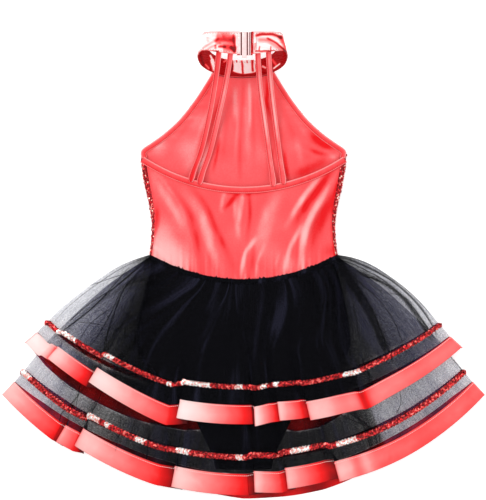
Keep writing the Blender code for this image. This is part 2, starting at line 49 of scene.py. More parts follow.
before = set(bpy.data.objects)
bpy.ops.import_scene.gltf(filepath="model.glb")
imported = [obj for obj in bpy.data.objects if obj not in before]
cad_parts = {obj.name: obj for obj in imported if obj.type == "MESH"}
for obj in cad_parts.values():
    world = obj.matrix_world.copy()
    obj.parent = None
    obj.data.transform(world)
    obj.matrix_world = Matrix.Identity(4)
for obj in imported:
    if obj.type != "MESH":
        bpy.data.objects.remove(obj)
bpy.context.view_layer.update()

MM = 0.001
SEAM = 0.3                # between two sewn layers
CLOTH = 1.0               # thickness of most layers, as in the solids
BODICE_WALL = 1.5         # the front with its sequins
FRONT_WALL = 0.9          # the front's cloth alone
COLLAR_WALL = 1.6
BODY = "root"

# The bodice front from the waist up: side height, centre height, half width, how far its
# side is rolled over (0 flat, 1 fully) and how far the lining stays inside the edge.
FRONT_ROWS = [
    (-6.0, -38.0, 120.0, 1.0, 9.0),
    (10.0, -12.0, 118.0, 1.0, 9.0),
    (32.0, 14.0, 117.0, 1.0, 9.0),
    (56.0, 42.0, 120.0, 1.0, 9.0),
    (82.0, 72.0, 126.0, 1.0, 9.0),
    (106.0, 98.0, 130.2, 1.0, 9.0),
    (117.0, 110.0, 131.4, 0.5, 6.5),
    (128.0, 122.0, 131.6, 0.0, 5.0),
    (138.0, 134.0, 118.0, 0.0, 1.2),
    (150.0, 147.0, 101.5, 0.0, 1.2),
    (168.0, 166.0, 82.0, 0.0, 1.2),
    (190.0, 188.0, 64.5, 0.0, 1.2),
    (210.0, 206.0, 51.0, 0.0, 1.2),
    (231.5, 226.5, 37.8, 0.0, 1.2),
]
LINING_FIRST_ROW = 4      # of FRONT_ROWS, as the next
UNDERARM_ROW = 7
ROLL_HEIGHT = 6.6
ROLL_REACH = 4.5

# The back panel from the waist to its scooped top: side height, centre height, half width.
BACK_ROWS = [
    (-6.0, -38.0, 120.0),
    (4.0, -24.0, 118.6),
    (18.0, -6.0, 117.4),
    (36.0, 14.0, 117.4),
    (56.0, 32.0, 120.0),
    (76.0, 48.0, 124.4),
    (96.0, 62.0, 128.0),
    (113.0, 74.0, 130.6),
    (121.0, 80.5, 131.4),
]
BACK_LEVEL = 6.4
BACK_DOME = 2.2
BACK_OVER_ROLL = 1.3      # how far its sides rise over the front's roll

# How far the back panel stays inside the front's outline, by share from waist to top.
BACK_INSET = [(0, 1.0), (0.31, 2.0), (0.47, 4.0), (0.63, 5.1), (1, 5.1)]

# Folds of the back panel and the lining: half width, height and a line of (x, y).
BACK_FOLDS = [
    (8, 1.6, ((-123, 110), (-104, 77), (-82, 45), (-69, 15))),
    (10, 2.2, ((-82, 80), (-57, 52), (-46, 23), (-38, -3), (-28, -30))),
    (14, 1.6, ((-128, 28), (-112, 8), (-92, -24))),
    (8, 3.6, ((120.6, 106), (111.6, 81), (93.5, 52), (83, 28), (77, 5), (71, -40))),
    (7, 2.4, ((104, 103), (87, 79), (71.6, 57), (57, 36))),
    (5, 1.4, ((73, 23), (61, 3), (54, -32))),
    (4, 1.4, ((13.5, 9), (3, -5), (-2, -36))),
    (3, 0.7, ((25, 1), (19, -15), (17, -32))),
    (9, 0.8, ((42, 64), (29, 36), (23, 6))),
    (4, 0.9, ((-3, 74), (-6, 44))),
    (4, 0.7, ((-10, 67), (-12, 34))),
    (4, 0.7, ((-25, 72), (-28, 54))),
    (5, 0.7, ((-48, -32), (-46, -14), (-48, 2))),
    (4, 0.7, ((40, -30), (45, -14), (50, 2))),
]
LINING_FOLDS = [
    (9, 1.4, ((-100, 134), (-76, 166), (-46, 206))),
    (8, 1.2, ((-66, 118), (-50, 160), (-34, 204))),
    (7, 1.2, ((-32, 108), (-26, 160), (-20, 214))),
    (5, 1.0, ((-10, 100), (-6, 160), (-4, 222))),
    (8, 1.5, ((10, 100), (8, 160), (5, 220))),
    (8, 1.4, ((38, 108), (32, 160), (24, 210))),
    (9, 1.2, ((70, 118), (56, 158), (38, 200))),
    (8, 1.2, ((100, 128), (80, 158), (54, 190))),
    (5, 0.9, ((114, 126), (96, 140), (76, 154))),
    (5, 0.7, ((106, 116), (88, 126), (68, 136))),
]
# Long strokes of painted highlight (above 0) or painted shade (below 0) along the folds and
# creases, on the lining also painted shade beside the straps: half width, amount and a line
# of (x, y).
BACK_SHADING_STROKES = [
    (15, 0.45, ((-132, 124), (-104, 77), (-82, 45), (-64, -4))),
    (5, 0.28, ((-121, 112), (-84, 63), (-70, 34))),
    (8, -0.75, ((-118, 106), (-76, 56), (-65, 30), (-59, 4), (-50, -60))),
    (12, 0.62, ((-90, 92), (-57, 52), (-46, 23), (-38, -3), (-16, -60))),
    (7, -0.75, ((-80, 98), (-51, 61), (-37, 31), (-24, 3), (0, -50))),
    (5, -0.70, ((-113, 66), (-111, 39), (-118, 14))),
    (4, 0.40, ((-120, 7), (-108, -1), (-92, -16))),
    (8, 0.86, ((132, 126), (111.6, 81), (93.5, 52), (83, 28), (77, 5), (70, -42))),
    (13, 0.40, ((84, 44), (76, -4), (70, -50))),
    (7, 0.85, ((114, 116), (87, 79), (71.6, 57), (50, 22))),
    (8, -1.25, ((130, 126), (100, 83), (81, 58), (60, 22))),
    (13, -1.00, ((132, 112), (112, 61), (96, 31), (82, -14))),
    (5, -0.80, ((122, 96), (117, 32), (122, -30))),
    (6, 0.66, ((80, 40), (61, 3), (52, -38))),
    (4, -0.45, ((71, 24), (66, -60))),
    (5.5, 0.92, ((19, 20), (3, -5), (-5, -44))),
    (4.5, 0.45, ((29, 12), (19, -15), (16, -44))),
    (5, -0.50, ((14, 10), (6, -60))),
    (15, 0.45, ((50, 84), (29, 36), (18, -20))),
    (6, -0.70, ((-70, 92), (0, 73), (84, 92))),
    (5.5, -1.10, ((-4, 76), (-28, 50))),
    (4.5, 0.85, ((1, 92), (-6, 30))),
    (4.5, -0.70, ((6, 92), (8.5, 46), (3, 8))),
    (6, 0.50, ((-11, 78), (-6, 8))),
    (6, 0.45, ((-23, 86), (-29, 44))),
]
LINING_SHADING_STROKES = [
    (5, -1.00, ((-22, 234), (-25, 209), (-32, 184), (-41, 158))),
    (4, 0.80, ((-46, 146), (-48, 126), (-55, 110), (-60, 92))),
    (3.5, -0.80, ((-31, 148), (-34, 126), (-41, 96))),
    (5, 0.50, ((-10, 218), (-11, 190), (-11, 164))),
    (4, -0.35, ((0, 222), (0, 180))),
    (4, 0.65, ((7, 226), (8.5, 187), (8.5, 150))),
    (5, -0.40, ((-4.5, 152), (-4.5, 84))),
    (4.5, -1.10, ((29, 232), (31, 206), (30, 191), (36, 166))),
    (3.5, -1.00, ((37, 134), (36, 94))),
    (5, -0.95, ((51, 136), (55, 108), (59, 86))),
    (6, 0.40, ((-120, 128), (-96, 152), (-74, 180))),
    (10, -0.85, ((80, 156), (94, 142), (110, 132), (124, 126))),
    (5, -0.55, ((84, 131), (100, 125), (122, 124))),
    (6, 0.40, ((84, 140), (104, 130), (122, 118))),
    (11, -0.65, ((118, 122), (100, 112), (78, 101), (58, 94))),
    (8, 0.35, ((64, 150), (72, 128), (74, 104))),
]
# Soft patches of painted light (above 0) or painted shade (below 0): x, y, reach and amount.
BACK_SHADING_PATCHES = [
    (-108, 6, 38, 0.95),
    (-88, -16, 40, 0.85),
    (-104, 34, 22, 0.25),
    (112, -2, 15, -0.60),
    (40, -8, 28, 0.28),
    (60, -20, 18, 0.30),
    (36, 30, 34, 0.15),
    (-8, 20, 24, 0.12),
    (-40, 66, 24, -0.15),
]
LINING_SHADING_PATCHES = [
    (-112, 136, 22, 0.55),
    (-70, 130, 28, 0.45),
    (-66, 108, 18, 0.35),
    (-58, 166, 24, 0.35),
    (96, 134, 30, -0.40),
    (74, 110, 30, -0.25),
    (113, 124, 13, 0.50),
    (60, 152, 24, -0.25),
    (62, 190, 16, 0.25),
    (22, 128, 26, 0.20),
    (-24, 128, 22, -0.20),
    (12, 206, 22, 0.20),
]

# The fan of each tier: share of its length, side height, centre height, half width.
UPPER_FAN = [
    (0.00, -6.4, -38.4, 120.0),
    (0.10, -11.5, -57.0, 137.0),
    (0.22, -24.0, -78.0, 165.0),
    (0.43, -52.0, -118.0, 205.0),
    (0.60, -76.0, -149.0, 233.5),
    (0.72, -94.0, -171.0, 249.5),
    (0.765, -99.5, -179.5, 254.0),
    (0.82, -106.0, -189.4, 260.0),
    (0.87, -112.5, -199.0, 265.5),
    (1.00, -126.5, -224.0, 280.5),
]
LOWER_FAN = [
    (0.00, -7.3, -38.5, 118.6),
    (0.08, -16.0, -61.0, 131.5),
    (0.16, -27.0, -84.0, 149.0),
    (0.30, -49.0, -122.0, 179.0),
    (0.50, -85.0, -175.0, 219.0),
    (0.69, -123.0, -225.0, 257.0),
    (0.76, -139.0, -245.0, 269.0),
    (0.825, -154.5, -262.5, 281.5),
    (0.855, -160.5, -271.0, 286.5),
    (0.88, -165.7, -279.5, 291.0),
    (0.905, -171.0, -288.5, 295.5),
    (1.00, -188.0, -317.0, 311.5),
]
UPPER_FRONT_LEVEL = [(0, 0.0), (0.22, 1.4), (0.765, 1.4), (0.87, 0.0), (1, 0.0)]
UPPER_BACK_LEVEL = [(0, 6.5), (0.10, 9.6), (0.22, 12.4), (0.43, 14.8), (0.72, 15.9), (1, 17.0)]
LOWER_FRONT_LEVEL = [(0, 1.3), (0.08, 3.2), (0.16, 4.3), (0.30, 5.4), (0.76, 5.4), (0.825, 1.7),
                     (0.855, 1.6), (0.905, 0.0), (1, 0.0)]
LOWER_BACK_LEVEL = [(0, 5.2), (0.08, 8.0), (0.16, 9.8), (0.30, 11.9), (0.76, 11.9),
                    (0.905, 9.0), (1, 6.2)]
BRIEFS_LEVEL = [(0, 2.6), (0.08, 5.4), (0.16, 7.0), (0.30, 9.2), (0.76, 9.2), (0.90, 6.2)]

Pleat = namedtuple("Pleat", "edge tuck tall sink before after tone_end tone_start")
# Pleats along each back hem: left edge, tuck behind it, height, how far before the edge the
# cloth sinks, the hem's drop below its arc before and after the edge, and the satin's tone
# before and after it, which is painted light and shade on the red ribbon: 0 is a near white
# painted highlight, 0.5 coral, 0.8 red and 1 dark painted shade.
UPPER_PLEATS = [
    Pleat(-250, 7, 3.6, 10, -6.0, -8.0, 0.22, 0.25),
    Pleat(-196, 8, 4.4, 10, -1.0, -8.0, 0.82, 0.18),
    Pleat(-83, 9, 4.6, 24, 11.0, 0.0, 0.62, 0.10),
    Pleat(16, 7, 4.0, 9, 0.0, 2.5, 0.78, 0.22),
    Pleat(48, 7, 4.4, 13, -1.0, -2.5, 0.55, 0.30),
    Pleat(88, 8, 4.2, 13, -1.0, 3.0, 0.66, 0.36),
]
LOWER_PLEATS = [
    Pleat(-241, 6, 3.4, 9, 4.0, 3.0, 0.72, 0.40),
    Pleat(-215, 7, 4.0, 10, 2.0, -6.5, 0.60, 0.30),
    Pleat(-90, 9, 4.4, 30, 1.0, -1.5, 0.66, 0.26),
    Pleat(16, 8, 4.0, 16, 0.0, -4.0, 0.74, 0.32),
    Pleat(59, 7, 4.2, 12, -1.0, -5.0, 0.62, 0.34),
    Pleat(126, 9, 4.4, 22, -5.0, 0.0, 0.74, 0.36),
]
# The front hems' drop below their arcs, from left (-1) to right (1).
UPPER_FRONT_DROP = [(-1, -6), (-0.9, 6), (-0.78, 13), (-0.5, 18), (-0.25, 16), (-0.1, 7),
                    (0.12, 5), (0.22, 16), (0.34, 17), (0.44, 6), (0.7, 1), (1, 0)]
LOWER_FRONT_DROP = [(-1, 0), (-0.85, -8), (-0.5, -12), (-0.2, -3), (0, 5), (0.3, 6), (0.42, 2),
                    (0.6, -3), (0.78, -5), (0.9, -6), (1, 0)]
FRONT_WAVE_HEIGHT = 2.2
GATHER_HEIGHT = 1.2
SIDE_TAPER = 0.45         # how much flatter a tier is at its side folds
SIDE_BULGE = 0.3          # how far they stand out, as a share of the tier's thickness
# The satin's tones at the side folds are painted highlight where the ribbon turns round them.
SIDE_TONES = (0.30, 0.42)  # of the satin, at the left and the right fold
DROP_FROM = 0.45          # the share of the length where the back's hem begins to drop
# The back hem from the last pleat to its tip: share of the way, height, drop and tone, the
# last being painted light and shade on the satin.
UPPER_TAIL = [(0.10, 0.9, 3.6, 0.30), (0.22, 0.8, 4.4, 0.46), (0.32, 0.7, 6.5, 0.50),
              (0.37, 0.55, 9.0, 0.82), (0.43, 0.62, 8.0, 0.52), (0.55, 0.6, 5.0, 0.47),
              (0.75, 0.45, 2.5, 0.53), (0.90, 0.3, 1.0, 0.50), (1.0, 0.0, 0.0, 0.52)]
LOWER_TAIL = [(0.08, 0.9, 0.5, 0.34), (0.14, 0.85, 1.0, 0.50), (0.20, 0.8, 1.6, 0.36),
              (0.28, 0.75, 2.2, 0.52), (0.45, 0.7, 3.0, 0.54), (0.62, 0.6, 2.6, 0.58),
              (0.80, 0.45, 1.5, 0.53), (0.92, 0.25, 0.6, 0.55), (1.0, 0.0, 0.0, 0.54)]

# How much of the view each net layer hides from left (-1) to right (1), and how much of the
# rest it hides down its length, from the waist (0) to the hem (1).
UPPER_COVER = [(-1, 0.20), (-0.90, 0.17), (-0.87, 0.20), (-0.84, 0.28), (-0.81, 0.38),
               (-0.75, 0.49), (-0.69, 0.58), (-0.58, 0.70), (-0.48, 0.86), (-0.40, 0.92),
               (0.45, 0.92), (0.53, 0.80), (0.58, 0.66), (0.68, 0.53), (0.76, 0.48),
               (0.88, 0.41), (0.93, 0.36), (0.96, 0.25), (1, 0.20)]
UPPER_DEPTH = [(0, 0.90), (0.06, 0.55), (0.16, 0.24), (0.32, 0.06), (0.5, 0), (1, 0)]
LOWER_COVER = [(-1, 0.22), (-0.88, 0.25), (-0.82, 0.38), (-0.75, 0.47), (-0.69, 0.54),
               (-0.58, 0.62), (-0.50, 0.71), (-0.41, 0.82), (-0.32, 0.84), (0.30, 0.84),
               (0.43, 0.78), (0.565, 0.66), (0.585, 0.38), (0.80, 0.35), (1, 0.24)]
LOWER_DEPTH = [(0, 0.90), (0.15, 0.50), (0.30, 0.27), (0.55, 0.14), (0.69, 0.03), (0.74, 0),
               (1, 0)]

# The upper tier's front ribbon and its sequin line, which show through the net: from and to
# which share of the tier's length, the net's cover there, and the part of the front's drop
# by which each hangs.
FRONT_TRIMS = [(0.868, 0.999, 0.30, 0.92), (0.715, 0.780, 0.26, 0.55)]
# They show through the lower half of each tier: left of the first place, and on the lower tier
# wherever it is further from the middle than the second.
TRIMS_SHOW = (-0.62, 0.18)

# Creases in the net, as seen from above: width, cover and a line of (x, y).
UPPER_CREASES = [
    (2.2, 0.50, ((-119, -8), (-168, -50), (-203, -82), (-238, -108))),
    (3.0, 0.42, ((-116, -10), (-150, -45), (-163, -72), (-176, -112), (-180, -132))),
    (1.8, 0.45, ((-124, -12), (-160, -44), (-202, -72), (-232, -100))),
    (1.4, 0.40, ((-202, -47), (-176, -38), (-146, -28))),
    (1.6, 0.38, ((-157, -50), (-172, -84), (-191, -116), (-204, -128))),
    (1.5, 0.34, ((-144, -18), (-186, -66), (-222, -96), (-252, -118))),
    (1.3, 0.36, ((-130, -20), (-156, -62), (-196, -94), (-214, -122))),
    (1.6, 0.30, ((-122, -14), (-140, -58), (-150, -98), (-158, -140))),
    (1.2, 0.34, ((-168, -58), (-150, -82), (-128, -96), (-112, -104))),
    (1.3, 0.30, ((-190, -70), (-166, -96), (-160, -126), (-166, -150))),
    (7.0, 0.34, ((-112, -20), (-126, -60), (-138, -104), (-128, -140), (-98, -176))),
    (1.2, 0.32, ((-214, -92), (-186, -96), (-160, -104), (-140, -118))),
    (4.5, 0.50, ((121, -7), (150, -17), (190, -38), (222, -66), (243, -95), (252, -118))),
    (1.4, 0.45, ((121, -6), (146, -12), (172, -24), (206, -47), (232, -72), (247, -92))),
    (2.0, 0.45, ((121, -10), (154, -24), (190, -46), (228, -88), (243, -114))),
    (1.2, 0.30, ((-121, -8), (-137, -14), (-165, -28), (-204, -55), (-232, -79), (-246, -96))),
    (15.0, 0.36, ((116, -8), (140, -43), (163, -80), (178, -112), (190, -140))),
    (4.0, 0.48, ((122, -14), (144, -43), (167, -80), (180, -112), (195, -150))),
    (9.0, 0.34, ((140, -24), (182, -42), (208, -63), (228, -90), (246, -120))),
    (2.6, 0.40, ((150, -30), (186, -45), (212, -66), (232, -92), (250, -120))),
    (1.4, 0.36, ((131, -30), (142, -72), (150, -120), (156, -168))),
    (1.5, 0.32, ((126, -22), (172, -62), (196, -96), (210, -140))),
    (1.3, 0.30, ((160, -40), (176, -52), (206, -60), (222, -74))),
    (1.6, 0.34, ((124, -34), (134, -88), (138, -140), (150, -176))),
    (2.6, 0.30, ((148, -130), (160, -156), (164, -182))),
]
LOWER_CREASES = [
    (1.6, 0.55, ((-204, -176), (-220, -196), (-234, -210), (-238, -224))),
    (1.6, 0.50, ((-210, -172), (-214, -190), (-216, -204))),
    (1.3, 0.36, ((-266, -134), (-246, -156), (-226, -176), (-206, -186))),
    (2.4, 0.45, ((-121, -232), (-123, -250), (-125, -274))),
    (1.4, 0.38, ((-82, -238), (-84, -262), (-86, -286))),
    (1.4, 0.34, ((-66, -240), (-70, -258), (-74, -284))),
    (1.3, 0.30, ((-158, -214), (-160, -236), (-166, -262))),
    (2.4, 0.50, ((120, -200), (140, -212), (158, -224), (170, -240), (173, -258))),
    (12.0, 0.30, ((128, -176), (142, -204), (160, -232), (168, -262))),
    (1.6, 0.45, ((118, -208), (146, -222), (172, -232), (176, -254))),
    (1.5, 0.40, ((200, -176), (203, -196), (196, -212))),
    (2.2, 0.45, ((266, -136), (280, -152), (288, -164))),
    (1.4, 0.34, ((96, -250), (104, -262), (112, -284))),
]
CREASE_LIFT = 0.45
CREASE_STRENGTH = 2.4
CREASE_PITCH = 2.5
ABOVE_ALL = 200.0         # a height over every piece

# The trims' white glints: stretches of x along the back and along the front.
UPPER_GLINTS = [(-239, -216), (-178, -166), (-98, -92), (-79, -42), (-11, 0), (22, 30),
                (40, 46), (128, 150)]
LOWER_GLINTS = [(-285, -276), (-200, -186), (-178, -172), (-137, -126), (-85, -68), (-9, 0),
                (62, 86), (122, 148)]

# A tier: the tables above, its front's waves, the share of its length where the front begins to
# drop, those where its ribbon begins and where its trim lies, its discs' size against the
# bodice's, the flat sizes of net and ribbon in metres, and how far its right side is pulled up.
Tier = namedtuple("Tier", "name fan low high pleats tail waves front_drop front_from "
                          "ribbon_from trim disc cover depth creases glints net_cut "
                          "ribbon_cut shoulder")
UPPER = Tier("upper", UPPER_FAN, UPPER_FRONT_LEVEL, UPPER_BACK_LEVEL, UPPER_PLEATS, UPPER_TAIL,
             waves=9, front_drop=UPPER_FRONT_DROP, front_from=0.45, ribbon_from=0.87,
             trim=(0.72, 0.765), disc=1.5, cover=UPPER_COVER, depth=UPPER_DEPTH,
             creases=UPPER_CREASES, glints=UPPER_GLINTS, net_cut=(1.15, 0.165),
             ribbon_cut=(1.28, 0.025), shoulder=5.0)
LOWER = Tier("lower", LOWER_FAN, LOWER_FRONT_LEVEL, LOWER_BACK_LEVEL, LOWER_PLEATS, LOWER_TAIL,
             waves=11, front_drop=LOWER_FRONT_DROP, front_from=0.80, ribbon_from=0.905,
             trim=(0.825, 0.855), disc=1.75, cover=LOWER_COVER, depth=LOWER_DEPTH,
             creases=LOWER_CREASES, glints=LOWER_GLINTS, net_cut=(1.25, 0.230),
             ribbon_cut=(1.45, 0.028), shoulder=0.0)
# How far each layer lies off the net, at the back and at the front.
BAND_OFF = (0.5, 0.1)
STRAND_OFF = (1.3, 0.1)
RIBBON_OFF = (0.35, 0.15)
RIBBON_STITCH_OFF = (0.85, 0.2)
BAND_WALL = 0.4
RIBBON_WALL = 0.6
RIBBON_GAP = 0.002        # of the tier's length, between the net's end and the ribbon
RIBBON_STITCH_GAP = 0.012

# Each side of the briefs: how far it is lifted, how much narrower it is, and its rim's height.
BRIEFS_SIDES = {"briefs_front": (0.0, 4.0, 0.0), "briefs_back": (1.3, 0.0, 0.3)}
# Briefs: height at the side, height at the centre, half width, by rows from the waist.
BRIEFS_ROWS = [
    (-8.2, -38.5, 117.0),
    (-30.0, -62.0, 122.0),
    (-60.0, -92.0, 129.0),
    (-95.0, -120.0, 136.0),
    (-128.0, -142.0, 137.0),
    (-150.0, -158.0, 121.0),
    (-176.0, -180.0, 92.0),
    (-208.0, -209.0, 68.0),
    (-240.0, -240.0, 52.0),
    (-264.0, -264.0, 41.0),
    (-283.0, -284.0, 36.0),
]

# Straps: x at five shares of the way down, the end's y, and the top end's height.
STRAPS = {
    "strap_left_outer": ((-31.0, -36.5, -44.5, -54.5, -68.0), 88.0, 53.2),
    "strap_left_inner": ((-16.0, -23.0, -33.0, -43.5, -57.0), 84.5, 54.6),
    "strap_right_inner": ((18.0, 21.0, 27.0, 33.0, 38.5), 82.0, 54.5),
    "strap_right_outer": ((31.5, 35.0, 40.5, 46.0, 51.5), 84.5, 53.2),
}
# Each strap's painted light and shade from top to end: above 0 a painted highlight, below 0
# painted shade.
STRAP_SHADING = {
    "strap_left_outer": (-0.3, -0.1, 0.0, -0.5, -1.0),
    "strap_left_inner": (0.2, 0.5, 0.3, 0.0, -0.5),
    "strap_right_inner": (0.2, 0.7, 0.9, 0.3, 0.0),
    "strap_right_outer": (0.3, 0.7, 0.9, 0.2, -0.2),
}
STRAP_TOP_Y = 254.0
STRAP_HEIGHTS = (29.0, 12.5, 6.2, 4.9)
STRAP_WIDTH = 7.0
STRAP_END_LIFT = 6.6      # the sewn end lies on the back's binding

# The collar's two edges by angle from the front: angle, half width, y and z of each edge.
COLLAR_EDGES = [
    (0, 0.0, 225.0, 2.6, 0.0, 243.0, 23.0),
    (24, 25.0, 227.0, 3.4, 22.0, 244.5, 24.5),
    (45, 43.0, 232.0, 7.0, 37.0, 250.0, 28.5),
    (66, 54.5, 239.5, 15.5, 46.0, 258.5, 35.5),
    (90, 57.2, 247.5, 30.0, 50.5, 268.0, 45.0),
    (114, 53.5, 252.5, 45.0, 49.5, 274.5, 54.0),
    (138, 40.0, 251.5, 54.0, 42.0, 276.0, 57.4),
    (160, 19.5, 248.5, 56.6, 20.5, 276.0, 58.0),
    (180, 0.0, 247.0, 57.0, 0.0, 276.0, 58.0),
]
# Strokes of the foil's print: half width, amount and a line of (x, y). The band's back is
# white under them, its front white in the middle and dark red beyond.
FOIL_BACK = [
    (11, -0.36, ((-36, 269), (-8, 264))),
    (10, -0.30, ((-27, 254), (-8, 254))),
    (6, -0.20, ((-28, 270), (-19, 271.5), (-12, 265))),
    (5, -0.26, ((-38, 263), (-23, 265.5), (-11, 262))),
    (6, -0.28, ((-32, 259), (-17, 256), (-9, 252))),
    (2.6, -0.40, ((-33, 257), (-21, 256.5))),
    (3, -0.35, ((-17, 258), (-10, 249))),
    (3, -0.35, ((-12.5, 274), (-11, 248))),
    (2.4, -0.22, ((-53, 255), (-42, 261), (-30, 268))),
    (2.4, -0.22, ((-50, 250), (-40, 257), (-28, 262))),
    (3.5, -0.14, ((-46, 270), (-44, 262))),
    (2.5, -0.38, ((-36, 260), (-35, 254))),
    (1.8, -0.75, ((-54, 253), (-42, 251.5), (-30, 251))),
    (3.2, -0.72, ((13, 270), (25, 272.5), (37, 272), (50, 268))),
    (5.0, -0.30, ((16, 265), (28, 265), (38, 260), (51, 252))),
    (2.4, -0.55, ((28, 268), (38, 264), (46, 258), (54, 251))),
    (5.5, -0.50, ((45, 272), (52, 260), (54, 246))),
    (1.5, -0.70, ((13, 251.5), (42, 251.5))),
    (2.8, -0.85, ((10.5, 278), (10.5, 247))),
    (2, -0.35, ((15, 262), (14, 252))),
    (1.2, -0.60, ((20.5, 258), (19.5, 252))),
    (1.2, -0.60, ((34.5, 258), (34.0, 252))),
]
FOIL_FRONT = [
    (2.4, -0.55, ((-14, 244), (-14, 232))),
    (1.4, -0.90, ((-9, 245), (-8.6, 241))),
    (2.6, -0.75, ((-2.5, 245), (-1.5, 236), (-0.5, 228))),
    (1.4, -0.75, ((4.6, 245), (4.8, 240))),
    (3.0, -0.85, ((11.5, 246), (11.5, 238), (12.5, 230))),
    (2.4, 0.85, ((-43, 251), (-38, 240))),
    (4.0, 0.90, ((-41, 246), (-37, 231))),
    (2.0, 0.35, ((-50, 240), (-44, 234))),
    (3.0, -0.10, ((-56, 252), (-50, 236))),
    (2.5, 0.28, ((36, 246), (43, 238))),
    (1.6, 0.85, ((38, 234), (48, 241))),
    (2.2, 0.60, ((23, 238), (29, 235))),
    (2.0, 0.40, ((-26, 242), (-20, 244))),
]
FOIL_WHITE = (-14.5, 16.5)             # left and right side of the front's white part
FOIL_TURN = 97                         # how far round the front's print reaches, in degrees
COLLAR_MIDDLE_Y = 250.0
COLLAR_SHIFT = -1.2
COLLAR_LEFT_END = -175.2               # degrees from the front, as the next
COLLAR_RIGHT_END = 168.2
# Where the band is stitched: across its ends by angle, and along its rims by share of its width.
END_STITCHES = (COLLAR_LEFT_END + 2.5, COLLAR_LEFT_END + 7.0, COLLAR_RIGHT_END - 2.5,
                COLLAR_RIGHT_END - 6.0)
RIM_STITCHES = (0.09, 0.92)
NECK_SEAM_TURN = 34                    # how far the neck's seam reaches to each side
# Each clasp part's bars: left and right side, and how far one reaches below the band.
CLASP_BARS = {"clasp_hook": ((-4.4, -3.5, 0.0), (-2.0, 4.1, 2.6)),
              "clasp_eye": ((5.5, 7.4, 0.0), (8.2, 9.0, 0.0))}
CLASP_LOOP = (-8.0, 11.5)              # left and right end of the cloth folded round them
LOOP_WALL = 0.6
CLASP_Y = (245.5, 276.0)
CLASP_LEVEL = 57.4
CLASP_THICKNESS = 2.2
BINDING_WIDTH = 7.0
NECK_BINDING_WIDTH = 8.5
ARMHOLE_TURN = 3.2        # how far the binding's end rises up the side seam
BINDING_REACH = 1.024     # of the back panel's half width, out to the armholes

# The photograph: millimetres to a pixel, the pixel where the pattern's origin lies, the
# picture's centre, its height, and the height at which its scale holds.
PIXEL = 1.29
PHOTO_ORIGIN = (243.5, 250.0)
PHOTO_CENTRE = (243.0, 250.0)
PHOTO_HEIGHT = 500
FOCUS_HEIGHT = 12.0
CAMERA_HEIGHT = 2200.0
SENSOR_WIDTH = 36.0
ROOM_LIGHT = 0.72
# Each lamp's place and size in metres, and its power in watts.
LAMPS = {"soft_left": ((-0.9, 0.9, 1.7), 1.2, 17.0),
         "soft_right": ((1.0, -0.3, 1.8), 1.4, 6.0)}
FLOOR_REACH = 3.0
FLOOR_DROP = 0.0004

# How finely the meshes are divided.
LINING_COLUMNS = 110
BACK_STEPS = 90
BACK_COLUMNS = 170
NECK_STEPS = 60
STRAP_STEPS = 70
COLLAR_STEPS = 340
COLLAR_LEVELS = 34
LOOP_STEPS = 24
LOOP_LEVELS = 8
BRIEFS_COLUMNS = 60
NET_STEPS = 64
RIBBON_STEPS = 12
COLUMN_STEPS = 7
FRONT_STEPS = 300
SIDE_STEPS = 6
TUFT_STEPS = 300

# What repeats: sizes in metres, pitches in millimetres, leans as shares and fixed seeds.
SEQUIN_THICKNESS = 0.00035
STRAND_THICKNESS = 0.0007
SEQUIN_TILT = 0.12
STRAND_TILT = 0.16
STITCH_TILT = 0.06
SEQUIN_PITCH = 0.85       # of a sequin's width
SEQUIN_ROW_PITCH = 0.9    # of the pitch in a row
SEQUIN_LIFT = 0.2
STRAND_PITCH = 2.1
SHINGLE_LEAN = 0.45
ROW_SEED = 5
SEQUIN_SEED = 11
STRAND_SEED = 23
STITCH_SEED = 3

# How far the pattern's frame lies along y of the shared frame.
LAY_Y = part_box("clasp_hook")[1][1] / MM - CLASP_Y[1]


def srgb(red, green, blue):
    """A screen colour, 0 to 255, as a linear one."""
    def linear(value):
        """One channel."""
        value /= 255
        return value / 12.92 if value <= 0.04045 else ((value + 0.055) / 1.055) ** 2.4
    return (linear(red), linear(green), linear(blue), 1.0)


# Reading tables and curves

def table_value(table, share, column=1):
    """Read one column of a table by its first column, straight between its rows."""
    for low, high in zip(table, table[1:]):
        if share <= high[0]:
            mix = (share - low[0]) / (high[0] - low[0])
            return low[column] + (high[column] - low[column]) * mix
    return table[-1][column]


def smooth(share):
    """0 up to 0, 1 from 1 on, and a soft step between them."""
    share = min(max(share, 0.0), 1.0)
    return share * share * (3 - 2 * share)


def curve_value(values, share):
    """A smooth curve through evenly spaced values."""
    place = share * (len(values) - 1)
    first = min(int(place), len(values) - 2)
    mix = place - first
    before = values[max(first - 1, 0)]
    after = values[min(first + 2, len(values) - 1)]
    low, high = values[first], values[first + 1]
    bend = (high - before) * mix + (2 * before - 5 * low + 4 * high - after) * mix ** 2
    return low + 0.5 * (bend + (3 * low - before - 3 * high + after) * mix ** 3)


def refined(rows, steps):
    """More rows between the given ones, each column on its own smooth curve."""
    columns = list(zip(*rows))
    last = (len(rows) - 1) * steps
    return [tuple(curve_value(column, k / last) for column in columns) for k in range(last + 1)]


def table_place(table, value):
    """Where a value lies among a table's rows, as a share of the way down it."""
    for k, (low, high) in enumerate(zip(table, table[1:])):
        if value <= high[0]:
            return (k + (value - low[0]) / (high[0] - low[0])) / (len(table) - 1)
    return 1.0


def table_curve(table, value, column):
    """Read one column of a table by its first column, on a smooth curve."""
    return curve_value([row[column] for row in table], table_place(table, value))


def fan_values(fan, share):
    """Side height, centre height and half width; straight up to the fan's second row."""
    read = table_value if share <= fan[1][0] else table_curve
    return [read(fan, share, column) for column in (1, 2, 3)]


def arc_radius(side_y, mid_y, half):
    """Radius of the arc through both sides and the centre."""
    sag = side_y - mid_y
    return (half * half + sag * sag) / (2 * sag)


def arc_height(side_y, mid_y, half, x):
    """Height of the arc through both sides and the centre at one x."""
    radius = arc_radius(side_y, mid_y, half)
    return mid_y + radius - (radius * radius - min(abs(x), half) ** 2) ** 0.5


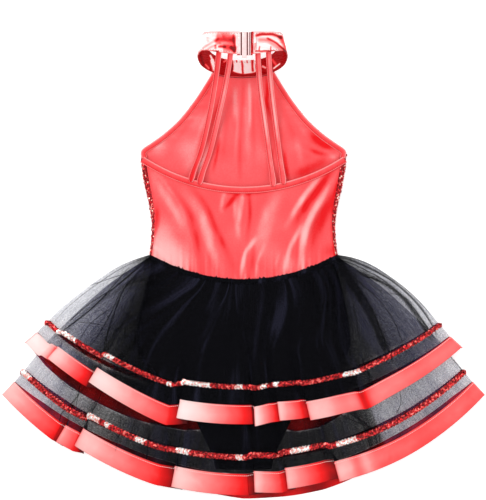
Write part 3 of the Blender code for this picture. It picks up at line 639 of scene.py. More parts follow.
def share_at(fan, x, y):
    """How far down a tier's fan a point lies, as a share of the tier's length."""
    low, high = 0.0, 1.0
    for _ in range(16):
        middle = (low + high) / 2
        side_y, mid_y, half = (table_value(fan, middle, column) for column in (1, 2, 3))
        radius = arc_radius(side_y, mid_y, half)
        if hypot(x, y - mid_y - radius) > radius:
            low = middle
        else:
            high = middle
    return low


def wander(*place):
    """Soft noise between -1 and 1, the same on every run."""
    return noise.noise(Vector(place))


def patch_tone(x, y, patches):
    """Sum of soft round patches at one place."""
    tone = 0.0
    for patch_x, patch_y, reach, amount in patches:
        gap = hypot(x - patch_x, y - patch_y)
        if gap < reach:
            tone += amount * (0.5 + 0.5 * cos(pi * gap / reach))
    return tone


def laid_folds(folds):
    """Each fold as (half width, height, its fine line, the box round it)."""
    ready = []
    for reach, tall, line in folds:
        fine = refined(line, 5)
        across, up = zip(*fine)
        box = (min(across) - reach, max(across) + reach, min(up) - reach, max(up) + reach)
        ready.append((reach, tall, fine, box))
    return ready


def fold_height(x, y, folds, fade=0.5):
    """Sum of soft lines, each fading out over a share of its length at both ends."""
    height = 0.0
    for reach, tall, line, (left, right, low, high) in folds:
        if not (left < x < right and low < y < high):
            continue
        nearest, place = reach, 0.0
        for k, ((x0, y0), (x1, y1)) in enumerate(zip(line, line[1:])):
            along_x, along_y = x1 - x0, y1 - y0
            share = ((x - x0) * along_x + (y - y0) * along_y) / (along_x ** 2 + along_y ** 2)
            share = min(max(share, 0.0), 1.0)
            gap = hypot(x - x0 - along_x * share, y - y0 - along_y * share)
            if gap < nearest:
                nearest, place = gap, (k + share) / (len(line) - 1)
        ends = smooth(min(place, 1 - place) / fade)
        height += tall * (0.5 + 0.5 * cos(pi * nearest / reach)) * ends
    return height


def fold_slope(x, y, folds):
    """How steeply folds rise to the right; the light comes from the left."""
    return (fold_height(x + 0.8, y, folds) - fold_height(x - 0.8, y, folds)) / 1.6


# Meshes

def laid(point):
    """A point of the pattern's frame in the scene, in metres."""
    return (point[0] * MM, (point[1] + LAY_Y) * MM, point[2] * MM)


def lengths(points):
    """How far along a line each of its points lies, in metres."""
    total, marks = 0.0, [0.0]
    for start, end in zip(points, points[1:]):
        total += (Vector(end) - Vector(start)).length * MM
        marks.append(total)
    return marks


def grid_mesh(name, rows, closed=False, paint=None):
    """A sheet of quads with a UV map in metres; paint holds rows of values by name."""
    columns = len(rows[0])
    last = columns if closed else columns - 1
    mesh = bpy.data.meshes.new(name)
    faces, corners = [], []
    middle = list(rows[len(rows) // 2])
    across = lengths(middle + middle[:1])
    down = lengths([row[columns // 4] for row in rows])
    for r in range(len(rows) - 1):
        for c in range(last):
            right = (c + 1) % columns
            faces.append((r * columns + c, r * columns + right,
                          (r + 1) * columns + right, (r + 1) * columns + c))
            for u, v in ((c, r), (c + 1, r), (c + 1, r + 1), (c, r + 1)):
                corners += [across[u], down[v]]
    mesh.from_pydata([laid(point) for row in rows for point in row], [], faces)
    mesh.uv_layers.new(name="cloth").data.foreach_set("uv", corners)
    for key, values in (paint or {}).items():
        layer = mesh.attributes.new(key, "FLOAT", "POINT")
        layer.data.foreach_set("value", [value for row in values for value in row])
    mesh.shade_smooth()
    return mesh


def painted_mesh(name, grid, key="crest"):
    """A sheet from rows of (point, value), the value painted on under the key."""
    rows = [[point for point, _ in row] for row in grid]
    return grid_mesh(name, rows, paint={key: [[value for _, value in row] for row in grid]})


def bands_mesh(name, bands):
    """One mesh of many narrow sheets; each is rows of (point, cover)."""
    points, covers, faces = [], [], []
    for band in bands:
        width = len(band[0])
        for r in range(len(band) - 1):
            for c in range(width - 1):
                at = len(points) + r * width + c
                faces.append((at, at + 1, at + 1 + width, at + width))
        for row in band:
            points += [laid(point) for point, _ in row]
            covers += [cover for _, cover in row]
    mesh = bpy.data.meshes.new(name)
    mesh.from_pydata(points, [], faces)
    corners = [part for face in faces for at in face for part in points[at][:2]]
    mesh.uv_layers.new(name="cloth").data.foreach_set("uv", corners)
    mesh.attributes.new("cover", "FLOAT", "POINT").data.foreach_set("value", covers)
    mesh.shade_smooth()
    return mesh


def add_piece(name, mesh, material, nodes=(), wall=0.0):
    """Put a finished mesh in the scene; wall gives a sheet its thickness."""
    piece = bpy.data.objects.new(name, mesh)
    bpy.context.scene.collection.objects.link(piece)
    if material:
        mesh.materials.append(bpy.data.materials[material])
    if wall:
        maker = piece.modifiers.new("wall", "SOLIDIFY")
        maker.thickness = wall * MM
        maker.offset = 0.0
    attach(piece, BODY)
    if nodes:
        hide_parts(*nodes)
    return piece


def side_directions(path):
    """Level directions at right angles to a path, to its right."""
    sides = []
    for k in range(len(path)):
        ahead = path[min(k + 1, len(path) - 1)] - path[max(k - 1, 0)]
        sides.append(Vector((ahead.y, -ahead.x, 0)).normalized())
    return sides


def swept_mesh(name, path, outline_at):
    """Carry an outline of (sideways, up, painted light and shade) points along a path and cap both
    ends.
    """
    sides = side_directions(path)
    rows, shading_rows = [], []
    for k, (point, side) in enumerate(zip(path, sides)):
        outline = outline_at(k)
        rows.append([point + side * across + Vector((0, 0, up)) for across, up, _ in outline])
        shading_rows.append([crest for _, _, crest in outline])
    mesh = grid_mesh(name, rows, True, {"crest": shading_rows})
    shape = bmesh.new()
    shape.from_mesh(mesh)
    shape.verts.ensure_lookup_table()
    count = len(rows[0])
    shape.faces.new([shape.verts[i] for i in range(count)][::-1])
    shape.faces.new([shape.verts[len(shape.verts) - count + i] for i in range(count)])
    bmesh.ops.recalc_face_normals(shape, faces=shape.faces)
    shape.to_mesh(mesh)
    shape.free()
    return mesh


# Node trees

class Wire:
    """A node's output; numbers on it take part in arithmetic."""

    def __init__(self, graph, socket):
        self.graph = graph
        self.socket = socket

    def maths(self, operation, first, second):
        """A maths node over two wires or numbers."""
        return self.graph.node("ShaderNodeMath", {"operation": operation},
                               {0: first, 1: second})

    def __add__(self, other):
        return self.maths("ADD", self, other)

    def __sub__(self, other):
        return self.maths("SUBTRACT", self, other)

    def __rsub__(self, other):
        return self.maths("SUBTRACT", other, self)

    def __mul__(self, other):
        return self.maths("MULTIPLY", self, other)

    __radd__ = __add__
    __rmul__ = __mul__

    def between(self, low, high):
        """0 below low and 1 above high, with a soft step."""
        return self.graph.node("ShaderNodeMapRange", {"interpolation_type": "SMOOTHSTEP"},
                               {"Value": self, "From Min": low, "From Max": high})


class Graph:
    """Adds nodes to a tree."""

    def __init__(self, tree):
        self.tree = tree

    def node(self, kind, settings=None, links=None, output=0):
        """Add a node; links holds its inputs' wires and plain values."""
        made = self.tree.nodes.new(kind)
        for key, value in (settings or {}).items():
            if key == "stops":
                self.set_stops(made.color_ramp, value)
            else:
                setattr(made, key, value)
        for key, value in (links or {}).items():
            if isinstance(value, Wire):
                self.tree.links.new(value.socket, made.inputs[key])
            else:
                made.inputs[key].default_value = value
        return Wire(self, made.outputs[output])

    def set_stops(self, ramp, stops):
        """Fill a colour ramp from (place, colour) pairs."""
        while len(ramp.elements) < len(stops):
            ramp.elements.new(0.5)
        for element, (place, colour) in zip(ramp.elements, stops):
            element.position = place
            element.color = colour


SOCKETS = {
    "roughness": "Roughness",
    "metallic": "Metallic",
    "specular": "Specular IOR Level",
    "sheen": "Sheen Weight",
    "sheen_roughness": "Sheen Roughness",
    "anisotropic": "Anisotropic",
    "coat": "Coat Weight",
    "coat_roughness": "Coat Roughness",
    "glow": "Emission Strength",
}


class Finish(Graph):
    """A material being written, from its Principled shader backwards."""

    def __init__(self, name, **constants):
        self.material = bpy.data.materials.new(name)
        self.material.use_nodes = True
        super().__init__(self.material.node_tree)
        self.shader = self.tree.nodes["Principled BSDF"]
        for key, value in constants.items():
            self.shader.inputs[SOCKETS[key]].default_value = value

    def feed(self, socket, wire):
        """Lead a wire to the shader."""
        self.tree.links.new(wire.socket, self.shader.inputs[socket])

    def attribute(self, name):
        """A named value painted on the mesh."""
        return self.node("ShaderNodeAttribute", {"attribute_name": name}, output="Fac")

    def place(self):
        """The place on the object, in metres."""
        return self.node("ShaderNodeTexCoord", output="Object")

    def cloth_map(self):
        """The place on the flat cloth, in metres."""
        return self.node("ShaderNodeUVMap", {"uv_map": "cloth"})

    def noise(self, where, scale, detail=2.0, distortion=0.0):
        """Soft noise."""
        return self.node("ShaderNodeTexNoise", None,
                         {"Vector": where, "Scale": scale, "Detail": detail,
                          "Distortion": distortion})

    def wave(self, where, scale, direction="X", distortion=0.0):
        """Even bands across one direction."""
        return self.node("ShaderNodeTexWave", {"bands_direction": direction},
                         {"Vector": where, "Scale": scale, "Distortion": distortion}, "Fac")

    def mix(self, factor, first, second):
        """The first colour at 0 and the second at 1."""
        return self.node("ShaderNodeMix", {"data_type": "RGBA"},
                         {0: factor, 6: first, 7: second}, 2)

    def ramp(self, value, stops):
        """A colour by value."""
        return self.node("ShaderNodeValToRGB", {"stops": stops}, {"Fac": value})

    def bump(self, height, distance, strength):
        """Fine relief."""
        raised = self.node("ShaderNodeBump", None, {"Height": height, "Distance": distance,
                                                    "Strength": strength})
        self.feed("Normal", raised)


# Materials

def knit(name, low, base, high):
    """Stretch cloth: base colour with a painted highlight on crests and painted shade in valleys,
    with fine ribs.
    """
    cloth = Finish(name, roughness=0.55, sheen=0.1, sheen_roughness=0.4, specular=0.18)
    place = cloth.place()
    crest = cloth.attribute("crest")
    patches = cloth.noise(place, 30.0, 3.0)
    worn = cloth.noise(place, 520.0, 2.0)
    # crest carries the piece's painted light and shade; patches and worn add random tone.
    shade = crest + (patches - 0.5) * 0.4 + (worn - 0.5) * 0.34 - 0.04
    colour = cloth.mix(shade.between(-0.15, 1.35), base, high)
    colour = cloth.mix((0.0 - shade).between(-0.05, 1.15), colour, low)
    cloth.feed("Base Color", colour)
    ribs = cloth.wave(cloth.cloth_map(), 1100.0, "X", 0.6)
    cloth.bump(ribs + worn * 0.8, 0.00012, 0.5)
    return cloth.material


def satin():
    """Ribbon: its tone paints light and shade on the red satin, from a near white painted
    highlight on a fold to dark red painted shade under the next one.
    """
    cloth = Finish("satin", roughness=0.4, specular=0.16, anisotropic=0.4)
    tone = cloth.attribute("tone")
    streaks = cloth.noise(cloth.place(), 60.0, 3.0, 0.4)
    shade = tone + (streaks - 0.5) * 0.1
    colour = cloth.ramp(shade, [
        (0.0, srgb(255, 244, 242)),
        (0.25, srgb(255, 200, 196)),
        (0.42, srgb(255, 142, 140)),
        (0.58, srgb(255, 88, 88)),
        (0.74, srgb(250, 22, 24)),
        (0.88, srgb(196, 0, 4)),
        (1.0, srgb(84, 0, 4)),
    ])
    cloth.feed("Base Color", colour)
    weave = cloth.wave(cloth.cloth_map(), 900.0, "Y", 0.4)
    cloth.bump(weave, 0.00006, 0.4)
    return cloth.material


def foil_print():
    """Stiff band with a metallic print of soft sweeps in red, pink and white, which glows a little
    as painted light.
    """
    cloth = Finish("foil_print", roughness=0.32, specular=0.25, glow=0.10)
    place = cloth.node("ShaderNodeMapping", None,
                       {"Vector": cloth.place(), "Scale": (0.8, 2.6, 1.4)})
    swirl = cloth.noise(place, 74.0, 2.0, 1.2)
    fine = cloth.noise(place, 240.0, 3.0, 1.0)
    tone = cloth.attribute("tone")
    shade = tone + tone * ((swirl - 0.5) * 0.3 + (fine - 0.5) * 0.1)
    colour = cloth.ramp(shade, [
        (0.02, srgb(96, 0, 4)),
        (0.20, srgb(190, 2, 10)),
        (0.38, srgb(244, 56, 60)),
        (0.54, srgb(240, 124, 122)),
        (0.72, srgb(242, 190, 188)),
        (0.92, srgb(255, 246, 244)),
    ])
    cloth.feed("Base Color", colour)
    # The print's own colour glows faintly: painted light that brightens the band.
    cloth.feed("Emission Color", colour)
    cloth.feed("Roughness", fine * 0.2 + 0.18)
    cloth.bump(swirl * 0.8 + fine * 0.2, 0.0006, 0.25)
    return cloth.material


def sequin_gloss(name, first, second, painted_glint):
    """Hard glossy discs: darker and brighter patches painted as changing reflections, and a few
    with a painted glint.
    """
    disc = Finish(name, metallic=0.85, roughness=0.2, coat=0.4, coat_roughness=0.1)
    spread = disc.noise(disc.place(), 330.0, 1.0)
    colour = disc.mix(spread.between(0.38, 0.56), first, second)
    disc.feed("Base Color", disc.mix(spread.between(0.58, 0.66), colour, painted_glint))
    return disc.material


def sheer_net(name, thin):
    """Black net, paler where thin: the cover attribute says how much it hides."""
    net = Finish(name, roughness=0.8, specular=0.08)
    cover = net.attribute("cover")
    where = net.cloth_map()
    cells = net.node("ShaderNodeTexVoronoi", {"feature": "DISTANCE_TO_EDGE"},
                     {"Vector": where, "Scale": 800.0, "Randomness": 0.2}, "Distance")
    threads = 1.0 - cells.between(0.05, 0.25)
    grain = net.noise(net.place(), 750.0, 3.0)
    gathers = net.node("ShaderNodeMapping", None, {"Vector": where, "Scale": (70.0, 7.0, 1.0)})
    gathers = net.noise(gathers, 1.0, 3.0, 0.6)
    hatch = net.node("ShaderNodeMapping", None, {"Vector": where, "Scale": (520.0, 40.0, 1.0),
                                                 "Rotation": (0.0, 0.0, 0.25)})
    hatch = net.noise(hatch, 1.0, 2.0, 0.4)
    uneven = (threads - 0.4) * 0.5 + (grain - 0.5) * 2.8 + (gathers - 0.5) * 1.3
    uneven = uneven + (hatch - 0.5) * 0.8
    hidden = cover + uneven * cover * (1.0 - cover) * 1.6
    net.feed("Alpha", hidden)
    # Paler navy streaks along the gathers are painted highlight on the black net.
    dark = net.mix(gathers.between(0.52, 0.74), srgb(2, 2, 6), srgb(25, 25, 38))
    colour = net.mix(cover.between(0.15, 0.62), thin, dark)
    net.feed("Base Color", net.mix(net.attribute("over_trim"), colour, srgb(4, 2, 4)))
    return net.material


def briefs_knit():
    """Matt black knit."""
    cloth = Finish("briefs_knit", roughness=0.85, specular=0.1)
    worn = cloth.noise(cloth.place(), 120.0, 3.0)
    cloth.feed("Base Color", cloth.mix(worn, srgb(3, 3, 6), srgb(13, 12, 17)))
    ribs = cloth.wave(cloth.cloth_map(), 1000.0)
    cloth.bump(ribs, 0.0001, 0.4)
    return cloth.material


def clasp_gloss():
    """Pale pink moulded clasp."""
    bar = Finish("clasp_gloss", roughness=0.25, coat=0.5, coat_roughness=0.1)
    marks = bar.noise(bar.place(), 240.0, 2.0)
    bar.feed("Base Color", bar.mix(marks, srgb(250, 196, 196), srgb(255, 236, 234)))
    return bar.material


def sewing_thread(name, first, second):
    """Twisted thread."""
    thread = Finish(name, roughness=0.6)
    twist = thread.noise(thread.place(), 900.0, 1.0)
    thread.feed("Base Color", thread.mix(twist, first, second))
    return thread.material


def pale_floor():
    """Even white ground with a barely visible grain."""
    ground = Finish("pale_floor", roughness=0.9, specular=0.1, glow=0.4)
    ground.shader.inputs["Emission Color"].default_value = (1, 1, 1, 1)
    grain = ground.noise(ground.place(), 3.0, 2.0)
    ground.feed("Base Color", ground.mix(grain, srgb(250, 250, 250), srgb(255, 255, 255)))
    return ground.material


# Things that repeat

def repeat_sockets(sockets):
    """Name a repeat tree's inputs and its output."""
    def add(label, kind, way="INPUT"):
        """Add one socket."""
        sockets.new_socket(label, in_out=way, socket_type="NodeSocket" + kind)

    add("Points", "Geometry")
    for label in ("Width", "Height", "Tilt"):
        add(label, "Float")
    add("Seed", "Int")
    add("Finish", "Material")
    add("Pieces", "Geometry", "OUTPUT")


def small_shape(graph, shape, width, height):
    """One sequin, a disc with a smaller rim on top, or one stitch, a bar."""
    if shape == "disc":
        return graph.node("GeometryNodeMeshCone", None,
                          {"Vertices": 7, "Radius Bottom": width, "Radius Top": width * 0.5,
                           "Depth": height})
    return graph.node("GeometryNodeMeshCylinder", None,
                      {"Vertices": 6, "Radius": width, "Depth": height})


def repeat_tree(name, shape):
    """The tree that puts one small shape on each point, aimed by the point's aim vector."""
    if name in bpy.data.node_groups:
        return bpy.data.node_groups[name]
    tree = bpy.data.node_groups.new(name, "GeometryNodeTree")
    repeat_sockets(tree.interface)
    graph = Graph(tree)
    given = tree.nodes.new("NodeGroupInput")

    def taken(label):
        """One input of the tree."""
        return Wire(graph, given.outputs[label])

    small = small_shape(graph, shape, taken("Width"), taken("Height"))
    aim = graph.node("GeometryNodeInputNamedAttribute", {"data_type": "FLOAT_VECTOR"},
                     {"Name": "aim"})
    lean = graph.node("FunctionNodeRandomValue", {"data_type": "FLOAT_VECTOR"},
                      {0: (-1, -1, -1), 1: (1, 1, 1), "Seed": taken("Seed")})
    lean = graph.node("ShaderNodeVectorMath", {"operation": "SCALE"},
                      {0: lean, "Scale": taken("Tilt")})
    aim = graph.node("ShaderNodeVectorMath", {"operation": "ADD"}, {0: aim, 1: lean})
    turned = graph.node("FunctionNodeAlignRotationToVector", {"axis": "Z"}, {"Vector": aim})
    placed = graph.node("GeometryNodeInstanceOnPoints", None,
                        {"Points": taken("Points"), "Instance": small, "Rotation": turned})
    real = graph.node("GeometryNodeRealizeInstances", None, {"Geometry": placed})
    done = graph.node("GeometryNodeSetMaterial", None,
                      {"Geometry": real, "Material": taken("Finish")})
    end = tree.nodes.new("NodeGroupOutput")
    tree.links.new(done.socket, end.inputs["Pieces"])
    return tree


def repeated_mesh(name, tree, places, values):
    """Run a repeat tree over (point, aim) pairs and return its result as a plain mesh."""
    mesh = bpy.data.meshes.new(name + "_places")
    mesh.from_pydata([laid(point) for point, _ in places], [], [])
    aims = mesh.attributes.new("aim", "FLOAT_VECTOR", "POINT")
    aims.data.foreach_set("vector", [part for _, aim in places for part in aim])
    holder = bpy.data.objects.new(name + "_places", mesh)
    bpy.context.scene.collection.objects.link(holder)
    maker = holder.modifiers.new("repeat", "NODES")
    maker.node_group = tree
    for item in tree.interface.items_tree:
        if item.in_out == "INPUT" and item.name in values:
            maker[item.identifier] = values[item.name]
    bpy.context.view_layer.update()
    shape = holder.evaluated_get(bpy.context.evaluated_depsgraph_get())
    result = bpy.data.meshes.new_from_object(shape)
    result.name = name
    bpy.data.objects.remove(holder, do_unlink=True)
    return result


def spaced(points, pitch, start=0.0):
    """Even places along a line: each point, its direction and the line's point before it."""
    places, passed, due = [], 0.0, start
    for number, (low, high) in enumerate(zip(points, points[1:])):
        step = (high - low).length
        while step > 0 and due <= passed + step:
            places.append((low.lerp(high, (due - passed) / step), (high - low).normalized(),
                           number))
            due += pitch
        passed += step
    return places


def stitches(name, lines, thread, pitch=2.6, size=1.0):
    """Short raised threads along each line of points."""
    settings = bpy.context.scene.tutu_dress
    tree = repeat_tree("stitch_row", "bar")
    places = []
    for line in lines:
        marks = spaced([Vector(point) for point in line], pitch)
        places += [(point, along) for point, along, _ in marks]
    mesh = repeated_mesh(name, tree, places, {
        "Width": settings.thread_width * size / 2, "Height": settings.stitch_length,
        "Tilt": STITCH_TILT, "Seed": STITCH_SEED, "Finish": bpy.data.materials[thread]})
    add_piece(name, mesh, None)


# Bodice

def front_section(side_y, mid_y, half, roll):
    """One section of the front cloth, from seam to seam round the floor side."""
    floor = BODICE_WALL / 2 + 0.2
    turned = [(half - ROLL_REACH, ROLL_HEIGHT), (half - 0.6, ROLL_HEIGHT - 0.5),
              (half + 0.9, ROLL_HEIGHT * 0.58), (half - 0.2, floor + 0.9)]
    upright = [(half + 0.2, 6.4), (half + 0.4, 4.3), (half - 0.2, 2.3), (half - 2.4, floor + 0.2)]
    flat = [(half, floor), (half - 2.4, floor), (half - 4.8, floor), (half - 7.0, floor)]
    start, end, mix = (flat, upright, roll * 2) if roll <= 0.5 else (upright, turned, roll * 2 - 1)
    edge = [(f[0] + (t[0] - f[0]) * mix, f[1] + (t[1] - f[1]) * mix)
            for t, f in zip(end, start)]
    inner = half - 9.5
    bed = [(inner * (1 - k / 6), floor) for k in range(13)]
    section = refined(edge + bed + [(-x, z) for x, z in edge[::-1]], 4)
    return [Vector((x, arc_height(side_y, mid_y, half, x), z)) for x, z in section]


def front_rows():
    """The front's sections on smooth curves, with the roll kept between 0 and 1."""
    rows = refined(FRONT_ROWS, 6)
    return [(side, mid, half, min(max(roll, 0.0), 1.0), inset)
            for side, mid, half, roll, inset in rows]


def front_bodice():
    """The sequinned front's cloth; returns its rows, which the sequins follow."""
    rows = [front_section(*row[:4]) for row in front_rows()]
    mesh = grid_mesh("front_bodice_cloth", rows, paint={
        "crest": [[-0.3] * len(rows[0]) for _ in rows]})
    piece = add_piece("front_bodice_cloth", mesh, "sequin_ground",
                      ["front_bodice"], FRONT_WALL)
    return rows


def front_sequins(rows):
    """Flat discs over the outside of the front, round its side folds too."""
    settings = bpy.context.scene.tutu_dress
    tree = repeat_tree("sequin", "disc")
    pitch = settings.sequin_width / MM * SEQUIN_PITCH
    draw = random.Random(ROW_SEED)
    places, step = [], 0.0
    for low, high in zip(rows, rows[1:]):
        middle = len(low) // 2
        gap = (high[middle] - low[middle]).length
        while step < gap:
            line = [a.lerp(b, step / gap) for a, b in zip(low, high)]
            for point, along, _ in spaced(line, pitch, draw.random() * pitch):
                out = along.cross(Vector((0, 1, 0))).normalized()
                places.append((point + out * (FRONT_WALL / 2 + SEQUIN_LIFT), out))
            step += pitch * SEQUIN_ROW_PITCH
        step -= gap
    mesh = repeated_mesh("front_bodice_sequins", tree, places, {
        "Width": settings.sequin_width / 2, "Height": SEQUIN_THICKNESS, "Tilt": SEQUIN_TILT,
        "Seed": SEQUIN_SEED, "Finish": bpy.data.materials["sequin_red"]})
    add_piece("front_bodice_sequins", mesh, None)


def lining_point(row, across, folds, strokes):
    """A point of the lining and its painted light and shade there; its armhole edges pucker."""
    side_y, mid_y, half, _, inset = row
    reach = half - inset
    x = reach * across
    y = arc_height(side_y, mid_y, half, x)
    fade = 1 - across ** 8
    fold = fold_height(x, y, folds)
    near = exp(-(1 - abs(across)) * reach / 9.0) * smooth((y - 120) / 20)
    pucker = wander(y * 0.16, 3.0 if x > 0 else 8.0, 0.0) * near
    lift = (fold + 0.3 * wander(x * 0.05, y * 0.03, 2.0)) * fade + 0.5 * pucker
    # crest is painted light and shade: on folds and the sides that face the light, in patches and
    # strokes, paler on the puckers, and painted shade near the armhole edges.
    crest = (0.08 * fold + 0.9 * fold_slope(x, y, folds) * fade
             + patch_tone(x, y, LINING_SHADING_PATCHES) + fold_height(x, y, strokes, fade=0.35)
             + 1.2 * pucker - 0.3 * near)
    return Vector((x, y, BODICE_WALL + SEAM + CLOTH / 2 + max(lift, -0.2))), crest


def front_lining():
    """The halter's lining, which shows through the open back."""
    folds, strokes = laid_folds(LINING_FOLDS), laid_folds(LINING_SHADING_STROKES)
    grid = [[lining_point(row, -1 + 2 * k / LINING_COLUMNS, folds, strokes)
             for k in range(LINING_COLUMNS + 1)]
            for row in refined(FRONT_ROWS[LINING_FIRST_ROW:], 10)]
    mesh = painted_mesh("front_lining_cloth", grid)
    piece = add_piece("front_lining_cloth", mesh, "lining_knit", ["front_lining"], CLOTH)


def back_point(share, across, folds=(), strokes=()):
    """A point of the back panel and its painted light and shade there."""
    side_y, mid_y, half = (curve_value(column, share) for column in zip(*BACK_ROWS))
    inset = table_value(BACK_INSET, share)
    x = (half - inset) * across
    y = arc_height(side_y, mid_y, half, x)
    over_roll = 1 - inset / BACK_INSET[-1][1]
    over_roll *= BACK_OVER_ROLL * smooth((abs(across) - 0.93) / 0.04)
    edge = smooth(min((1 - abs(across)) / 0.16, share / 0.12, (0.9 - share) / 0.15))
    dome = BACK_DOME * (1 - across ** 4) * smooth(share / 0.3)
    fold = edge * fold_height(x, y, folds)
    waist = exp(-share / 0.10) * smooth(share / 0.02)
    top = exp(-(1 - share) / 0.08) * smooth((1 - share) / 0.02) * exp(-(x / 45) ** 2)
    gather = wander(x * 0.24, 1.0, 0.0) * waist + 0.8 * wander(x * 0.3, 5.0, 0.0) * top
    swell = 0.35 * wander(x * 0.03, y * 0.03, 7.0) * edge
    z = BACK_LEVEL + CLOTH / 2 + over_roll + dome + fold + swell
    z += 0.8 * gather * smooth((1 - abs(across)) / 0.1)
    # crest is painted light and shade: on the folds' sides that face the light, on the gathers, in
    # patches and in strokes along the folds.
    crest = 0.05 * fold + 0.5 * edge * fold_slope(x, y, folds) + 1.2 * gather
    streaky = 1 + 0.45 * wander(x * 0.11, y * 0.05, 9.0)
    crest += patch_tone(x, y, BACK_SHADING_PATCHES) + streaky * fold_height(x, y, strokes, fade=0.38)
    # Painted shade just under the top binding, and along both sides.
    crest -= 0.3 * exp(-(1 - share) / 0.045)
    return Vector((x, y, z)), crest - 0.35 * smooth((abs(across) - 0.96) / 0.04)


def back_bodice():
    """The back panel, from the waist to its scooped top."""
    folds, strokes = laid_folds(BACK_FOLDS), laid_folds(BACK_SHADING_STROKES)
    grid = [[back_point(step / BACK_STEPS, 1 - 2 * k / BACK_COLUMNS, folds, strokes)
             for k in range(BACK_COLUMNS + 1)] for step in range(BACK_STEPS + 1)]
    mesh = painted_mesh("back_bodice_cloth", grid)
    piece = add_piece("back_bodice_cloth", mesh, "bodice_knit", ["back_bodice"],
                      CLOTH)


# Bindings and straps

def fine_path(points, steps):
    """A smooth line of vectors through a few points."""
    return [Vector(point) for point in refined([tuple(point) for point in points], steps)]


def binding(name, path, width, lap, seed):
    """A strip folded over an edge; returns the line of its stitches, near its inner side."""
    out, beyond = SEAM, SEAM + CLOTH

    def outline(k):
        """The strip's section: its underside, the fold round the edge, then its top."""
        pucker = 0.22 * wander(k * 0.45, seed, 0.0)
        top = SEAM + CLOTH + pucker
        shade = 0.25 * wander(k * 0.09, seed, 5.0) + pucker
        # Each point's third value is painted light and shade: a painted highlight on the rounded
        # fold, painted shade in the groove by the stitches, and on the puckers.
        return [(-width, SEAM, -0.5), (-width * 0.5, SEAM, -0.5), (out, SEAM, -0.4),
                (out, -lap, -0.4), (beyond, -lap, -0.2), (beyond, SEAM, 0.1),
                (out + CLOTH * 0.7, top - 0.2, 0.75), (out - CLOTH * 0.1, top, 0.6),
                (-width * 0.16, top + 0.1, -0.15 + shade),
                (-width * 0.5, top + 0.2, -0.35 + shade), (-width * 0.72, top - 0.15, -0.7),
                (-width * 0.86, top, 0.25 + shade), (-width * 0.95, top, 0.45),
                (-width, top - 0.3, -0.7)]

    mesh = swept_mesh(name + "_cloth", path, outline)
    add_piece(name + "_cloth", mesh, "bodice_knit", [name])
    return [point + side * (-width * 0.8) + Vector((0, 0, SEAM + CLOTH))
            for point, side in zip(path, side_directions(path))]


def armhole_path(side):
    """The halter's side edge at the lining's top, with the cloth on its left."""
    top = BODICE_WALL + SEAM + CLOTH
    edge = [Vector((side * row[2], row[0], top)) for row in FRONT_ROWS[UNDERARM_ROW:]]
    edge[0] = edge[0].lerp(edge[1], 0.05)
    edge.insert(0, edge[0] + Vector((side * -0.3, -10.0, ARMHOLE_TURN)))
    return edge if side > 0 else edge[::-1]


def bindings():
    """The strips round both armholes and along the back's top edge, with their stitches."""
    lap = BODICE_WALL + SEAM + CLOTH - 0.1
    lines = []
    for name, side in (("armhole_binding_left", -1), ("armhole_binding_right", 1)):
        path = fine_path(armhole_path(side), 9)
        lines.append(binding(name, path, BINDING_WIDTH - CLOTH, lap, side * 4.0))
    path = []
    for k in range(2 * NECK_STEPS + 1):
        edge, _ = back_point(1.0, BINDING_REACH * (1 - k / NECK_STEPS))
        path.append(edge + Vector((0, 0, CLOTH / 2 + 0.15)))
    lines.append(binding("back_neck_binding", path, NECK_BINDING_WIDTH - CLOTH, CLOTH, 9.0))
    stitches("binding_stitches", lines, "thread_red")


def strap_path(name):
    """A strap's middle line, from under the collar down to its sewn end."""
    places, end_y, top = STRAPS[name]
    path = []
    for k in range(STRAP_STEPS + 1):
        share = k / STRAP_STEPS
        z = curve_value((top,) + STRAP_HEIGHTS, share)
        z += STRAP_END_LIFT * smooth((share - 0.80) / 0.16)
        path.append(Vector((curve_value(places, share),
                            STRAP_TOP_Y + (end_y - STRAP_TOP_Y) * share, z)))
    return path


def strap(name):
    """One strap; returns the line of its stitches."""
    path = strap_path(name)

    def outline(k):
        """The strap's section: a little wider where it is sewn down, and rounded at the end."""
        end = STRAP_STEPS - k
        half = STRAP_WIDTH / 2 + 0.9 * smooth(1 - end / 9)
        half *= min(1.0, 0.55 + 0.45 * (end / 3) ** 0.5) if end < 3 else 1.0
        wave = 0.12 * wander(k * 0.35, half, len(name))
        shade = curve_value(STRAP_SHADING[name], k / STRAP_STEPS)
        shade += 0.3 * wander(k * 0.08, half, 2.0 * len(name)) + wave
        # Each point's third value is painted light and shade: painted highlights on the folded
        # edges, painted shade in the groove and underneath, and the strap's painted shading along
        # it.
        return [(-half + 0.2, 0.0, -0.6), (half - 0.2, 0.0, -0.6), (half, 0.5, -0.6),
                (half - 0.3, 0.9, 0.35), (half - 0.8, 1.0 + wave, 0.35),
                (half - 1.3, 0.8, -0.75), (half * 0.2, 1.15 + wave, shade),
                (-half * 0.3, 1.2 + wave, 0.1 + shade), (-half + 1.2, 1.15, 0.1),
                (-half + 0.7, 1.1, 0.7), (-half + 0.25, 1.05, 0.7), (-half, 0.5, -0.5)]

    mesh = swept_mesh(name + "_cloth", path, outline)
    add_piece(name + "_cloth", mesh, "bodice_knit", [name])
    return [point + side * (STRAP_WIDTH / 2 - 1.1) + Vector((0, 0, 0.95))
            for point, side in zip(path, side_directions(path))]


def straps():
    """The four straps and their stitches."""
    stitches("strap_stitches", [strap(name) for name in STRAPS], "thread_red")


# Collar and clasp

def collar_point(turn, share):
    """A point of the band by its angle from the front and its share from the lower edge."""
    side = -1 if turn < 0 else 1
    edges = [table_curve(COLLAR_EDGES, abs(turn), column) for column in range(1, 7)]
    low, high = (Vector((side * x + COLLAR_SHIFT, y, z)) for x, y, z in (edges[:3], edges[3:]))
    return low.lerp(high, share)


